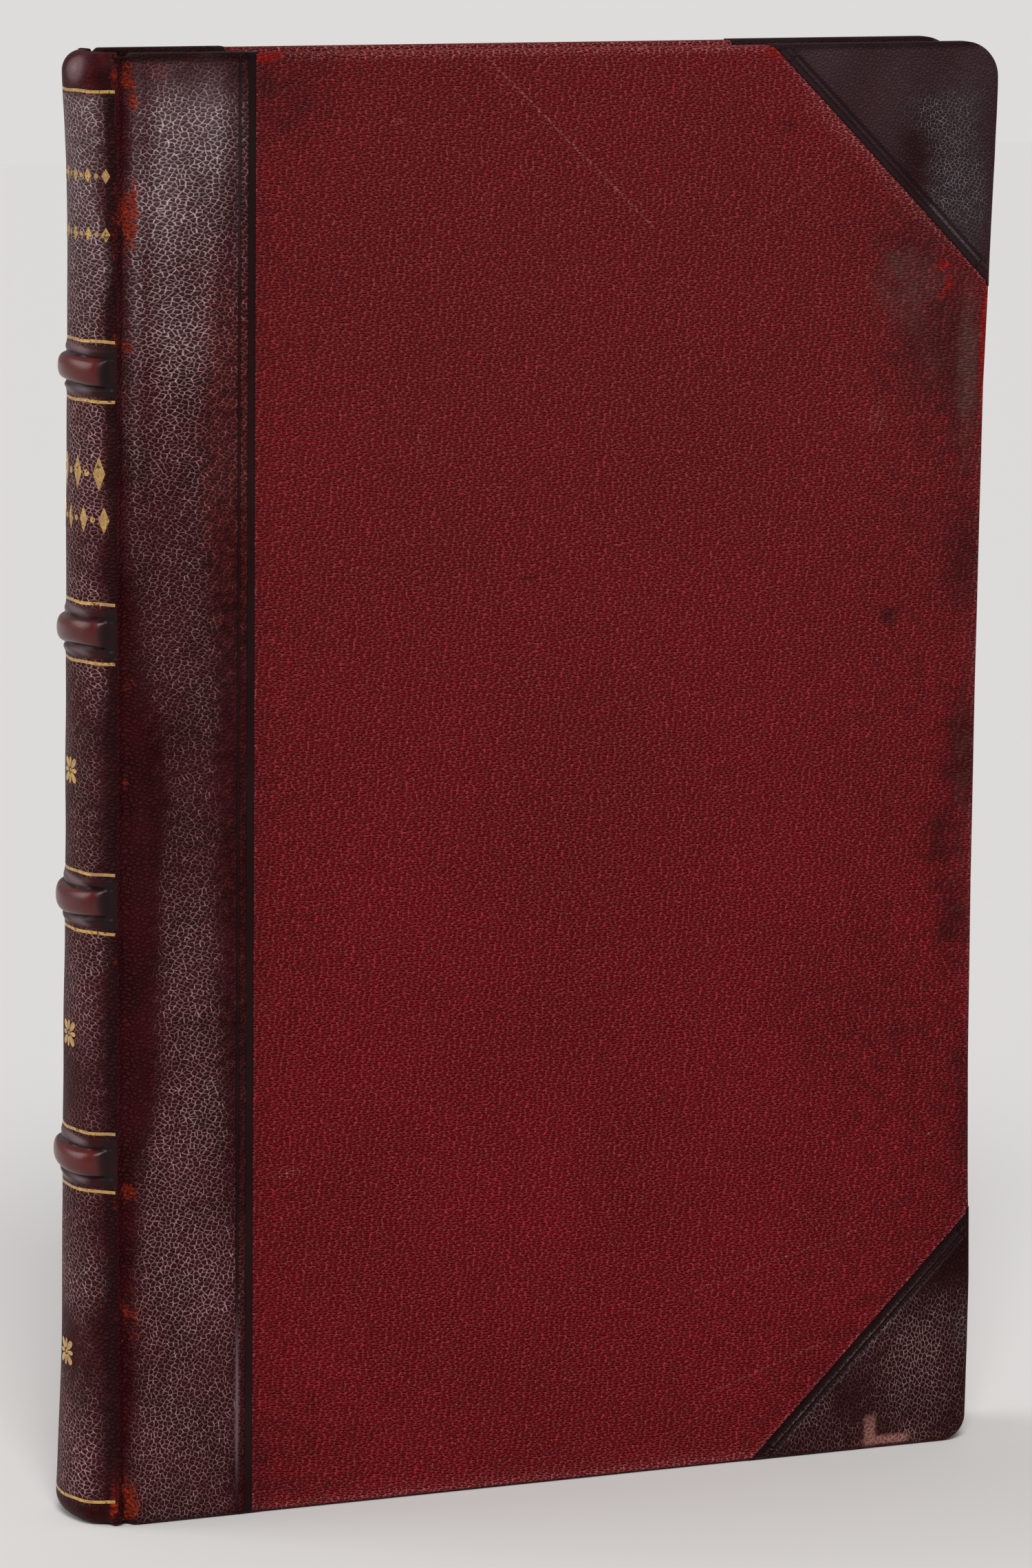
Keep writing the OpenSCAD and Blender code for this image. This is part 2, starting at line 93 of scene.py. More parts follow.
BOW = [0.3, 0.5, 0.65, 0.2, -0.25, -0.45, -0.4, 0.0, 0.5, 0.6, 1.2, 1.55, 1.5]
BOW_FROM = 95                       # the cover keeps its plan up to here
RIM_ANGLE = 55                      # edges sharper than this in degrees are shaded as edges

# Blind tooling: a line and a pressed band on the strip, a band and a line beside a corner's slant
LINE_X = 19.0
BAND_X = 20.75
STRIP_TOOLING = [18.95, 19.08, 19.3, 19.52, 19.65, 19.8, 20.3, 20.75, 20.88, 21.0, 21.5, 22.0, 22.15,
                 22.28, 22.42, STRIP_W + TUCK]
CORNER_TOOLING = [-TUCK, -0.22, -0.1, 0.0, 0.12, 0.3, 0.7, 1.1, 1.28, 1.6, 1.78, 1.9, 2.1, 2.3, 2.45, 2.9]
CORNER_ROWS = 34                    # rows of a corner's face beyond its tooling
OFF_FACE = 99.0                     # marks the places of a corner that lie past its face

# Spine, as in the construction
JOINT_W = 2.5
SPINE_RISE = 3.8
SHOULDER_DROP = 0.6
CREST_Y = BOOK_T / 2 - SHOULDER_DROP
SPINE_R = (CREST_Y ** 2 + SPINE_RISE ** 2) / (2 * SPINE_RISE)
SPINE_CX = SPINE_R - SPINE_RISE - JOINT_W
BANDS = [63.3, 107.7, 153.5, 197.4]
GILT_OFFSET = 5.0
BAND_HALF = 2.3
BAND_HEIGHT = 1.25
LEAN_Z = [0, 12, 30, 50, 70, 100, 137, 190, 213, 230, 243, 250]
LEAN = [1.1, 1.2, 1.3, 1.5, 1.4, 1.0, 0.8, 0.55, 0.4, 0.25, 0.6, 0.6]
CAP_H = 3.6
CAP_REACH = 3.4
CAP_LIP = 0.45
GILT_LINES = [4.4] + [z + s * GILT_OFFSET for z in BANDS for s in (-1, 1)] + [COVER_H - 6.3]
GILT_LINE_W = 0.52
GILT_LIFT = 0.05
GILT_SKIN = 0.06
ROSETTES = [29.2, 84.5, 129.6]
ORNAMENT_ROWS = [(229.8, 2.5, 1.75, 11), (220.1, 2.5, 1.75, 11), (180.4, 5.8, 2.5, 7), (172.6, 4.5, 2.1, 9)]

# Leather rubbed through to the raw skin along the front joint: height, half length, strength
SPINE_RAW = [(246, 5, 0.75), (222, 9, 0.6), (202, 4, 0.5), (144.7, 2, 0.45), (57.7, 4, 0.5),
             (4.5, 5.5, 1.0), (98, 2, 0.35)]
STRIP_RAW = [(245, 4.5, 0.9), (223, 6.5, 1.1), (202, 2.5, 0.6), (144.7, 1.6, 0.6), (128, 1.4, 0.4),
             (57.7, 3.5, 0.7), (36, 7, 0.5), (4, 5, 1.1), (88, 1.4, 0.3)]

# Pebbles of the leather to a millimetre, at heights up the book
GRAIN_Z = [0, 30, 60, 95, 150, 210, 245]
GRAIN_UP = [1.25, 1.27, 1.34, 1.44, 1.5, 1.48, 1.4]
GRAIN_ACROSS = [1.2, 1.15, 1.04, 0.95, 0.88, 0.86, 0.94]
HEAD_CORNER_GRAIN = (1.3, 1.65)
TAIL_CORNER_GRAIN = (1.35, 1.05)
PAINTED_LIGHT_SHIFT = (-0.095, 0.102, 0.0)    # in pebbles, towards the painted light: the side of a pebble's lines painted lighter, as if lit from the upper left

# How light the leather is rubbed at heights up the book; the strip between two places across it
RUB_Z = [0, 15, 28, 44, 60, 76, 92, 108, 124, 141, 171, 185, 200, 232, 242, 250]
STRIP_RUB = [0.5, 0.6, 0.62, 0.66, 0.6, 0.68, 0.56, 0.52, 0.36, 0.42, 0.5, 0.62, 0.78, 0.9, 0.78, 0.6]
STRIP_FROM = [0.0, 0.4, 0.8, 1.2, 1.2, 4.2, 5.3, 5.2, 5.5, 3.2, -0.6, -0.8, -0.2, 0.2, 0.6, 0.6]
STRIP_TO = [19.0, 18.6, 18.8, 18.8, 19.0, 15.8, 15.2, 16.0, 16.2, 15.4, 13.2, 12.6, 13.2, 16.8, 16.4, 16.0]
SPINE_RUB = [0.95, 0.9, 0.55, 0.9, 0.75, 0.5, 0.8, 0.8, 0.55, 0.85, 1.0, 1.15, 1.2, 1.1, 0.95, 0.9]
# Grey film on the leather at heights up the book, which is a painted sheen towards the head
FILM_AND_SHEEN_Z = [130, 171, 200, 225, 240, 250]
FILM_AND_SHEEN = [0.0, 0.12, 0.28, 0.46, 0.62, 0.6]

# Wear of the front cloth. Scratches: start, end, strength. Spots: x, z, half width, half height, strength
SCRATCHES = [((64.5, 247.8), (94.8, 219.3), 0.75), ((104, 31.7), (138, 40.5), 0.3),
             ((108, 13), (131, 20.5), 0.4), ((112, 218), (131, 230), 0.25)]
BRIGHT_SPOTS = [(24, 249.5, 4.5, 2.2, 0.9), (118.5, 248.8, 5.5, 1.8, 0.9), (149.8, 211.4, 1.7, 1.1, 0.95),
                (151.2, 208.2, 1.0, 2.0, 0.9), (149.6, 206.0, 1.0, 1.6, 0.75), (158.6, 199, 1.5, 13, 1.0),
                (158.9, 180, 0.8, 30, 0.6), (146, 213.6, 2.6, 1.2, 0.5), (122, 246.5, 2.5, 3, 0.5),
                (60, 250.6, 40, 0.7, 0.7), (100, 250.8, 30, 0.6, 0.6)]
STAINS = [(148, 198, 9, 13, 0.48), (155, 190, 4, 14, 0.4), (143, 214, 6, 6, 0.3), (157, 125, 4.5, 10, 0.7),
          (155, 95, 4, 9, 0.55), (156, 160, 4, 9, 0.45), (72.4, 159.9, 2.2, 1.0, 0.75),
          (77, 161, 1.4, 1.2, 0.7), (46.3, 178.6, 2.5, 3, 0.35), (65.8, 178.5, 2.5, 3, 0.3),
          (141.3, 150.4, 1.6, 1.4, 0.7), (30, 240, 8, 5, 0.3), (146, 12, 1.6, 0.9, 0.5),
          (120, 236, 1.4, 1.4, 0.5), (152, 110, 3, 5, 0.5), (158, 60, 3, 18, 0.4)]
SCUFFS = [(47.7, 237.9, 0.9, 0.6, 0.9), (49.8, 226.7, 0.5, 0.5, 0.7), (79.1, 133.4, 0.4, 0.7, 1.0),
          (73.6, 107.3, 0.7, 0.6, 0.8), (151, 56.5, 0.5, 0.9, 0.9), (28.7, 59.4, 3.5, 1.4, 0.5),
          (138, 185, 3, 3, 0.5), (100, 225, 7, 5, 0.25), (52, 183, 1.0, 5, 0.35)]
DUST = [(143, 209, 8, 8, 0.7), (148, 194, 7, 11, 0.3), (155.5, 193, 2.5, 14, 0.85), (157, 120, 3, 60, 0.4)]

# The back cover takes its patterns from elsewhere, so that it isn't a copy of the front
BACK_SHEET = np.array([300.0, 500.0, 0.0])
BACK_GRAIN = 300.0


def smooth(low, high, value):
    """0 at low to 1 at high, which may be the smaller of the two."""
    t = np.clip((value - low) / (high - low), 0, 1)
    return t * t * (3 - 2 * t)


def fade(low, high, value):
    """1 at low to 0 at high."""
    return 1 - smooth(low, high, value)


def between(value, start, full, easing, stop):
    """1 from full to easing, and 0 before start and after stop."""
    return smooth(start, full, value) * fade(easing, stop, value)


def bump(value, centre, half):
    """1 at centre, falling smoothly to about 0 beyond half."""
    return np.exp(-((value - centre) / half) ** 2)


def blob(x, z, cx, cz, rx, rz):
    return np.exp(-((x - cx) / rx) ** 2 - ((z - cz) / rz) ** 2)


def spots(x, z, places):
    return sum(much * blob(x, z, cx, cz, rx, rz) for cx, cz, rx, rz, much in places)


def strongest(values):
    return np.max(list(values), axis=0)


def span(low, high, step):
    """Even places from low up to high, about a step apart."""
    return list(np.linspace(low, high, max(2, int(round((high - low) / step)) + 1)))


def on_sheet(u, v):
    """Places on an unrolled covering, as vectors."""
    return np.stack(np.broadcast_arrays(u, v, 0.0), -1)


def grain_place(sheet):
    """Sheet places counted in pebbles."""
    table = np.linspace(-30, 290, 641)
    rate = np.interp(table, GRAIN_Z, GRAIN_UP)
    up = np.concatenate([[0], np.cumsum((rate[1:] + rate[:-1]) / 2 * np.diff(table))])
    x, z = sheet[:, 0], sheet[:, 1]
    return on_sheet(x * np.interp(z, GRAIN_Z, GRAIN_ACROSS), np.interp(z, table, up))


def waves(x, z, seed, size):
    """Slow random swell between about -1 and 1."""
    rng = np.random.default_rng(seed)
    total = np.zeros(np.broadcast(x, z).shape)
    for _ in range(6):
        angle = rng.uniform(0, 2 * math.pi)
        pitch = size * rng.uniform(0.6, 1.6)
        across = (x * math.cos(angle) + z * math.sin(angle)) / pitch
        total = total + np.sin(2 * math.pi * across + rng.uniform(0, 6.28))
    return total / 3


def swells(x, z, seed, size):
    """The same swell between about 0 and 1."""
    return 0.5 + 0.5 * waves(x, z, seed, size)


# Meshes

def add_mesh(name, points, faces, layers=None):
    mesh = bpy.data.meshes.new(name)
    mesh.from_pydata((np.asarray(points, float) * MM).tolist(), [], faces)
    for key, values in (layers or {}).items():
        values = np.asarray(values, np.float32)
        if values.ndim == 2:
            mesh.attributes.new(key, "FLOAT_VECTOR", "POINT").data.foreach_set("vector", values.ravel())
        else:
            mesh.attributes.new(key, "FLOAT", "POINT").data.foreach_set("value", values.ravel())
    mesh.polygons.foreach_set("use_smooth", np.ones(len(mesh.polygons), bool))
    mesh.update()
    piece = bpy.data.objects.new(name, mesh)
    bpy.context.scene.collection.objects.link(piece)
    return piece


def grid_faces(rows, cols, flip=False):
    faces = []
    for i in range(rows - 1):
        for j in range(cols - 1):
            a = i * cols + j
            quad = (a, a + 1, a + cols + 1, a + cols)
            faces.append(quad[::-1] if flip else quad)
    return faces


def thicken(piece, thickness):
    """Closes a sheet into a solid, inwards from its face, and applies the modifiers that do so."""
    weld = piece.modifiers.new("weld", "WELD")
    weld.merge_threshold = 0.00001
    solid = piece.modifiers.new("thickness", "SOLIDIFY")
    solid.thickness = thickness * MM
    solid.offset = -1
    graph = bpy.context.evaluated_depsgraph_get()
    closed = piece.evaluated_get(graph)
    mesh = bpy.data.meshes.new_from_object(closed, preserve_all_data_layers=True, depsgraph=graph)
    piece.modifiers.clear()
    piece.data = mesh
    mesh.set_sharp_from_angle(angle=math.radians(RIM_ANGLE))
    return piece


def add_skin(name, points, faces, layers, thickness, material):
    piece = thicken(add_mesh(name, points, faces, layers), thickness)
    piece.data.materials.append(materials[material])
    return piece


def in_frame(x, depth, z, side):
    """Book coordinates to row coordinates; side is -1 for the front cover and 1 for the back."""
    return np.stack([x + JOINT_X, side * (BOOK_T / 2 - depth), z], -1)


# Section of the leather round the spine and into the joint, from the crown out to the flat cover

def chaikin(points, times):
    """Rounds a line by cutting its corners."""
    p = np.array(points, float)
    for _ in range(times):
        a = 0.75 * p[:-1] + 0.25 * p[1:]
        b = 0.25 * p[:-1] + 0.75 * p[1:]
        p = np.concatenate([p[:1], np.stack([a, b], 1).reshape(-1, 2), p[-1:]])
    return p


def section_curve():
    angles = [math.radians(a) for a in range(0, 40, 2)]
    arc = [(SPINE_CX - SPINE_R * math.cos(a), BOOK_T / 2 - SPINE_R * math.sin(a)) for a in angles]
    joint = [(-2.9, 0.98), (-2.4, 0.64), (-1.9, 0.62), (-1.4, 0.92), (-0.95, 1.2), (-0.45, 1.18),
             (0.05, 0.78), (0.6, 0.32), (1.3, 0.06), (2.2, 0.0), (3.4, 0.0), (5.0, 0.0), (40.0, 0.0)]
    return chaikin(arc + joint, 3)


SECTION = section_curve()
SECTION_S = np.concatenate([[0], np.cumsum(np.hypot(*np.diff(SECTION, axis=0).T))])
FLAT_X = 3.4
FLAT_S = float(np.interp(FLAT_X, SECTION[:, 0], SECTION_S))
CREST_S = float(np.interp(-2.15, SECTION[:, 0], SECTION_S))


def along_section(s):
    """x and depth, s millimetres from the crown."""
    return np.interp(s, SECTION_S, SECTION[:, 0]), np.interp(s, SECTION_S, SECTION[:, 1])


def section_normal(s):
    step = 0.15
    (x0, d0), (x1, d1) = along_section(s - step), along_section(s + step)
    crown = np.abs(s) < step
    dx = np.where(crown, 0, x1 - x0)
    dd = np.where(crown, -1, d1 - d0)
    size = np.hypot(dx, dd)
    return dd / size, -dx / size


def band_profile(dz):
    """Height of a raised band at dz from its middle: its bead, and what it lifts beside itself."""
    away = np.abs(dz)
    bead = BAND_HEIGHT * np.clip(1 - (away / BAND_HALF) ** 2.4, 0, 1) ** 0.55
    slope = 0.3 * smooth(4.9, 2.2, away)
    crease = -0.22 * bump(away, BAND_HALF + 0.15, 0.3)
    ridge = 0.2 * bump(dz, -3.3, 0.42) + 0.08 * bump(dz, 3.4, 0.4)
    return bead, slope + crease + ridge


def spine_outer(s, z):
    """Height of the leather over the plain round of the spine, along its normal."""
    t = np.abs(s) / CREST_S
    inner = fade(0.88, 1.0, t)
    round_end = np.clip(1 - np.clip((t - 0.64) / 0.2, 0, 1) ** 2, 0, 1) ** 0.7
    height = np.zeros(np.broadcast(s, z).shape)
    for k, centre in enumerate(BANDS):
        bead, beside = band_profile(z - centre + 0.25 * np.sin(s * 0.35 + k * 1.7))
        height = height + bead * round_end + beside * inner
    for z_line in GILT_LINES:
        height = height - 0.07 * bump(z, z_line, 0.35) * inner
    flank = smooth(0.5, 1.0, t)
    lean = np.interp(z, LEAN_Z, LEAN) * (1 - flank)
    return height + lean + end_swell(z) * (1 - 0.75 * flank) + 0.05 * waves(s, z, 3, 14) * inner


def end_swell(z):
    """The spine grows a little fuller towards the tail, and less towards the head."""
    return 1.7 * np.clip(1 - z / 58, 0, 1) ** 2 + 0.75 * np.clip((z - 204) / (COVER_H - 204), 0, 1) ** 2


def spine_point(s, z, lift=0.0, inward=0.0):
    """Row position of a point on the spine, s along its section from the crown, positive to the front."""
    x, d = along_section(np.abs(s))
    out_x, out_d = section_normal(np.abs(s))
    out = spine_outer(s, z) + lift - inward
    y = (BOOK_T / 2 - d - out_d * out) * np.where(s >= 0, -1, 1)
    return np.stack([x + out_x * out + JOINT_X, y, np.broadcast_to(z, x.shape)], -1)


def nearest(z, places):
    return min(abs(z - place) for place in places)


def spine_heights():
    """Heights of the rows, closer together at bands and gilt lines."""
    rows = [CAP_H]
    while rows[-1] < COVER_H - CAP_H - 0.5:
        rows.append(rows[-1] + (0.22 if nearest(rows[-1], BANDS) < 5.6 else 0.75))
    rows[-1] = COVER_H - CAP_H
    rows = [z for z in rows if nearest(z, GILT_LINES) > 0.62]
    return sorted(rows + [g + k * 0.13 for g in GILT_LINES for k in range(-4, 5)])


def cap_path():
    """Curl of a cap, from the spine's face inwards: (inward, height over the end)."""
    quarter = np.linspace(0, math.pi / 2, 11)[1:]
    half = np.linspace(0, math.pi, 7)[1:]
    arc = [(CAP_REACH * (1 - math.cos(a)), CAP_H * (1 - math.sin(a))) for a in quarter]
    turn = [(CAP_REACH + CAP_LIP * math.sin(a), CAP_LIP - CAP_LIP * math.cos(a)) for a in half]
    back = [(CAP_REACH - k * 0.55, 2 * CAP_LIP + k * 1.1) for k in range(1, 4)]
    return arc + turn + back + [(1.6, 12.0)]


def spine_rows(cols):
    """Rows of the spine's leather from curl to curl: height, how far inwards, place on the sheet."""
    shrink = 1 - 0.72 * smooth(0.78, 1.0, np.abs(cols) / CREST_S)     # the curl runs out at the joints
    path = cap_path()
    lengths = np.cumsum([math.dist(a, b) for a, b in zip([(0, CAP_H)] + path, path)])
    curl = [(inward * shrink, up, far) for (inward, up), far in zip(path, lengths)]
    rows = [(up, inward, CAP_H - far) for inward, up, far in curl[::-1]]
    rows += [(z, 0.0, z) for z in spine_heights()]
    return rows + [(COVER_H - up, inward, COVER_H - CAP_H + far) for inward, up, far in curl]


def make_spine():
    side = 0.62 * CREST_S
    ends = span(side, CREST_S, 0.2)[1:]
    cols = np.array([-k for k in ends[::-1]] + span(-side, side, 0.45) + ends)
    rows = spine_rows(cols)
    points = np.concatenate([spine_point(cols, z + 0 * cols, inward=inward) for z, inward, _ in rows])
    sheet = np.concatenate([on_sheet(cols, v) for _, _, v in rows])
    layers = spine_wear(sheet[:, 0], sheet[:, 1])
    layers["sheet"] = sheet
    layers["grain"] = grain_place(sheet)
    faces = grid_faces(len(rows), len(cols))
    piece = add_skin("spine_leather_skin", points, faces, layers, SPINE_SKIN, "leather")
    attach(piece, "book")
    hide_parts("spine_leather", "gilt_lines", "gilt_rosettes")


def spine_light(u, v, near_band, ends):
    """How much the spine's grain is rubbed light."""
    away = np.abs(u) + 0.7 * waves(u, v, 12, 18)
    light = np.interp(v, RUB_Z, SPINE_RUB)
    light = light * (1 - 0.4 * smooth(6.4, 8.2, away) - 0.5 * smooth(8.0, 9.8, away))
    light = light * (0.8 + 0.4 * swells(u, v, 11, 22)) - 0.35 * blob(u, v, 1, 33, 8, 5)
    return np.clip(light, 0, 1) * (1 - near_band) * (1 - 0.85 * ends)


def spine_dirt_and_shade(u, v, near_band):
    out = np.abs(u)
    # Painted shade in the crease at the foot of each band and where the bands run out; also darker towards
    # the joints, and more so near the head
    dark = 0.6 * strongest(bump(np.abs(v - b), BAND_HALF + 0.2, 0.35) for b in BANDS)
    dark = dark + 0.6 * bump(out, 0.86 * CREST_S, 1.2) * near_band
    dark = dark + 0.5 * smooth(8.0, 9.6, out) * (1 - 0.5 * near_band) * smooth(4, 14, v)
    return dark + 0.3 * smooth(6.5, 8.5, out) * bump(v, 243, 5)


def spine_wear(u, v):
    out = np.abs(u)
    near_band = strongest(fade(3.6, 5.0, np.abs(v - b)) for b in BANDS)
    on_band = strongest(fade(2.0, 2.7, np.abs(v - b)) for b in BANDS)
    on_band = on_band * fade(0.72, 0.84, out / CREST_S)
    flank = near_band * (1 - on_band)
    ends = np.maximum(fade(2.0, 6.0, v), smooth(COVER_H - 8.0, COVER_H - 5.0, v))
    light = spine_light(u, v, near_band, ends)
    lit = fade(3.0, 8.0, out)
    # Grey film by height, and a painted sheen on the slopes beside the bands, on the crown side
    film_and_sheen = np.interp(v, FILM_AND_SHEEN_Z, FILM_AND_SHEEN) * light + 1.1 * flank * lit * (0.7 + 0.3 * np.sin(v * 3.0 + u * 0.7))
    # Painted highlight on the headcap
    film_and_sheen = film_and_sheen + 1.6 * blob(u, v, 2.2, COVER_H - 2.6, 2.2, 2.0)
    joint = smooth(CREST_S - 2.0, CREST_S, out) * smooth(150, 215, v)
    red = 0.75 * on_band + 0.8 * bump(v, BANDS[3], 2.0) * bump(u, 2, 5) + 0.4 * joint + 0.4 * ends
    red = red + 0.4 * blob(u, v, 0, BANDS[0], 5, 1.8) + 0.25 * bump(u, -1.5, 2.5) * bump(v, 222, 18)
    front_joint = smooth(CREST_S - 2.0, CREST_S - 0.2, u)
    orange = sum(much * bump(v, z, half) * front_joint for z, half, much in SPINE_RAW)
    return {"net": 0.05 + 0.7 * light, "film_and_sheen": film_and_sheen, "red": red, "orange": orange,
            "flat": near_band + 0.8 * ends, "shine": np.clip(0.25 + 0.65 * on_band + 0.3 * flank, 0, 1),
            "press": 0 * u, "dark": np.clip(spine_dirt_and_shade(u, v, near_band), 0, 0.9)}


# Sheets round a cover

def rolled(s, t, e):
    """Reach past the start of an edge's round, and depth, at s along a sheet that turns round an edge."""
    quarter = 0.5 * math.pi * e
    wall = t - 2 * e
    first = np.clip(s, 0, quarter) / e
    second = np.clip(s - quarter - wall, 0, quarter) / e
    reach = e * np.sin(first) - e * (1 - np.cos(second)) - np.maximum(s - 2 * quarter - wall, 0)
    depth = e * (1 - np.cos(first)) + np.clip(s - quarter, 0, wall) + e * np.sin(second)
    return reach, depth


def roll_length(t, e):
    return math.pi * e + t - 2 * e


def roll_steps(t, e):
    """Places along a sheet past the start of the round, to the end of its turn-in."""
    whole = roll_length(t, e)
    return [whole * k / 14 for k in range(1, 15)] + [whole + TURN_IN * k / 3 for k in range(1, 4)]


LEATHER_ROLL = roll_length(COVER_T, LEATHER_EDGE)
CLOTH_ROLL = roll_length(CLOTH_T, CLOTH_EDGE)


def bow(x, z):
    """Fore-edge drawn in between the corners, as the boards have warped and worn."""
    return x + np.interp(z, BOW_Z, BOW) * np.clip((x - BOW_FROM) / (COVER_W - BOW_FROM), 0, 1) ** 2


def board_outline(inset):
    """Outline of a cover from its spine edge round the fore-edge, moved in by inset."""
    right, top = COVER_W - inset, COVER_H - inset
    tail_r, head_r = TAIL_CORNER_R - inset, HEAD_CORNER_R - inset
    outline = [(BOARD_SET, inset)] + [(x, inset) for x in span(BOARD_SET + 4, right - tail_r, 8)]
    outline += [(right - tail_r + tail_r * math.sin(a), inset + tail_r - tail_r * math.cos(a))
                for a in np.linspace(0, math.pi / 2, 9)[1:]]
    outline += [(right, z) for z in span(inset + tail_r, top - head_r, 4)[1:-1]]
    outline += [(right - head_r + head_r * math.cos(a), top - head_r + head_r * math.sin(a))
                for a in np.linspace(0, math.pi / 2, 11)]
    return np.array(outline + [(BOARD_SET + 4, top), (BOARD_SET, top)])


def make_board(cover, side):
    """The millboard, with the same bowed fore-edge as its coverings."""
    x, z = board_outline(BOARD_INSET).T
    points = [in_frame(bow(x, z), d + 0 * x, z, side) for d in BOARD_DEPTHS]
    n = len(x)
    faces = [list(range(n)), list(range(n, 2 * n))[::-1]]
    faces += [(i, i + n, (i + 1) % n + n, (i + 1) % n) for i in range(n)]
    if side > 0:
        faces = [tuple(face)[::-1] for face in faces]
    piece = add_mesh(f"{cover}_board_core", np.concatenate(points), faces)
    piece.data.set_sharp_from_angle(angle=math.radians(RIM_ANGLE))
    piece.data.materials.append(materials["millboard"])
    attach(piece, f"{cover}_cover")
    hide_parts(f"{cover}_board")


def strip_columns():
    """Places across the leather strip, as distance from the cover's edge on the unrolled sheet."""
    start = CREST_S - FLAT_S + FLAT_X
    joint = [start - SEAM_LAP, start - 0.1] + span(start, 3.0, 0.28)
    return np.array(joint + span(3.0, 18.8, 0.8)[1:] + STRIP_TOOLING)


def strip_press(x):
    """Depth of the blind tooling across the strip, and of its end under the cloth."""
    line = between(x, LINE_X, LINE_X + 0.15, LINE_X + 0.5, LINE_X + 0.65)
    band = smooth(BAND_X, BAND_X + 0.2, x)
    return 0.16 * line + 0.2 * band + 0.4 * smooth(STRIP_W - 0.05, STRIP_W + 0.2, x)


def strip_row(a, b, side):
    """Row positions of the strip at b up the sheet, for all places a across it."""
    s = a - FLAT_X + FLAT_S
    section_x, section_d = along_section(s)
    x = np.where(a < FLAT_X, section_x, a)
    base = np.where(a < FLAT_X, section_d, 0.0)
    out_x, out_d = section_normal(s)
    free = fade(-0.2, 0.9, x)                # over the joint the leather has no board in it
    t = COVER_T * (1 - free) + JOINT_T * free
    e = LEATHER_EDGE * (1 - free) + JOINT_EDGE * free
    past = max(LEATHER_EDGE - b, b - (COVER_H - LEATHER_EDGE), 0.0)
    roll = roll_length(t, e)
    along = np.where(past <= LEATHER_ROLL, past * roll / LEATHER_ROLL, past - LEATHER_ROLL + roll)
    reach, depth = rolled(along, t, e)
    drop = 0.25 * free
    z = b + 0 * a
    if b < LEATHER_EDGE:
        z = LEATHER_EDGE + drop - reach
    elif b > COVER_H - LEATHER_EDGE:
        z = COVER_H - LEATHER_EDGE - drop + reach
    face = max(0.0, 1 - past / LEATHER_EDGE)
    soft = 0.05 * waves(a, b + 0 * a, 5 if side < 0 else 6, 17) + strip_press(a)
    swell = 0.25 * end_swell(np.clip(z, 0, COVER_H)) * fade(0.0, 2.2, s - CREST_S)
    swell = swell - 0.04 * smooth(0.12, -0.12, s - CREST_S)
    return in_frame(x + swell * out_x, base + depth + face * soft * (1 - free) + swell * out_d, z, side)


def make_strip(cover, side, front):
    a = strip_columns()
    ring = LEATHER_EDGE
    steps = roll_steps(COVER_T, ring)
    heights = [ring - k for k in steps[::-1]] + span(ring, COVER_H - ring, 0.8)
    heights += [COVER_H - ring + k for k in steps]
    points = np.concatenate([strip_row(a, b, side) for b in heights])
    sheet = np.concatenate([on_sheet(a, b) for b in heights])
    layers = strip_wear(sheet[:, 0], sheet[:, 1], front)
    layers["sheet"] = sheet if front else sheet + BACK_SHEET
    layers["grain"] = grain_place(sheet) + (40.0 if front else 40.0 + BACK_GRAIN)
    faces = grid_faces(len(heights), len(a), flip=side > 0)
    piece = add_skin(f"{cover}_strip_skin", points, faces, layers, LEATHER_SKIN, "leather")
    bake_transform(piece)
    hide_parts(f"{cover}_leather_strip")


def strip_light(x, z, swell):
    """How much the strip's grain is rubbed light, between two edges that wander."""
    drift = 0.6 * waves(x, z, 8, 30)
    start, stop = np.interp(z, RUB_Z, STRIP_FROM), np.interp(z, RUB_Z, STRIP_TO)
    light = np.interp(z, RUB_Z, STRIP_RUB) * (0.85 + 0.3 * swell)
    light = light * smooth(-2.6, 2.6, x - start + drift)
    light = light * (1 - 0.25 * bump(x, 2.6, 1.4) * smooth(150, 180, z))
    light = light * (1 + 0.22 * bump(x, 6.5, 2.6) * smooth(180, 200, z))
    return light * (1 - (0.75 - 0.25 * smooth(130, 180, z)) * smooth(-2.4, 2.4, x - stop + drift))


def strip_film_and_sheen(x, z, light):
    # Grey film where the grain is rubbed, with a painted sheen towards the head
    film_and_sheen = light * np.interp(z, FILM_AND_SHEEN_Z, FILM_AND_SHEEN) + 0.15 * blob(x, z, 14, 243, 7, 5)
    film_and_sheen = film_and_sheen + 0.16 * fade(1.0, 2.8, x) * smooth(150, 200, z)
    return film_and_sheen + 0.14 * fade(3.0, 5.5, x) * between(z, 20, 60, 140, 170)


def strip_red(x, z):
    red = 0.12 * fade(0.5, 3.0, x) * smooth(150, 215, z) + 0.75 * blob(x, z, 5, 247, 3, 2.5)
    red = red + 0.6 * smooth(248.6, 250.5, z) + 0.5 * fade(-1.5, 2.5, z)
    return red + (0.35 + 0.25 * smooth(140, 180, z)) * smooth(8, 15, x) * between(z, 50, 90, 200, 238)


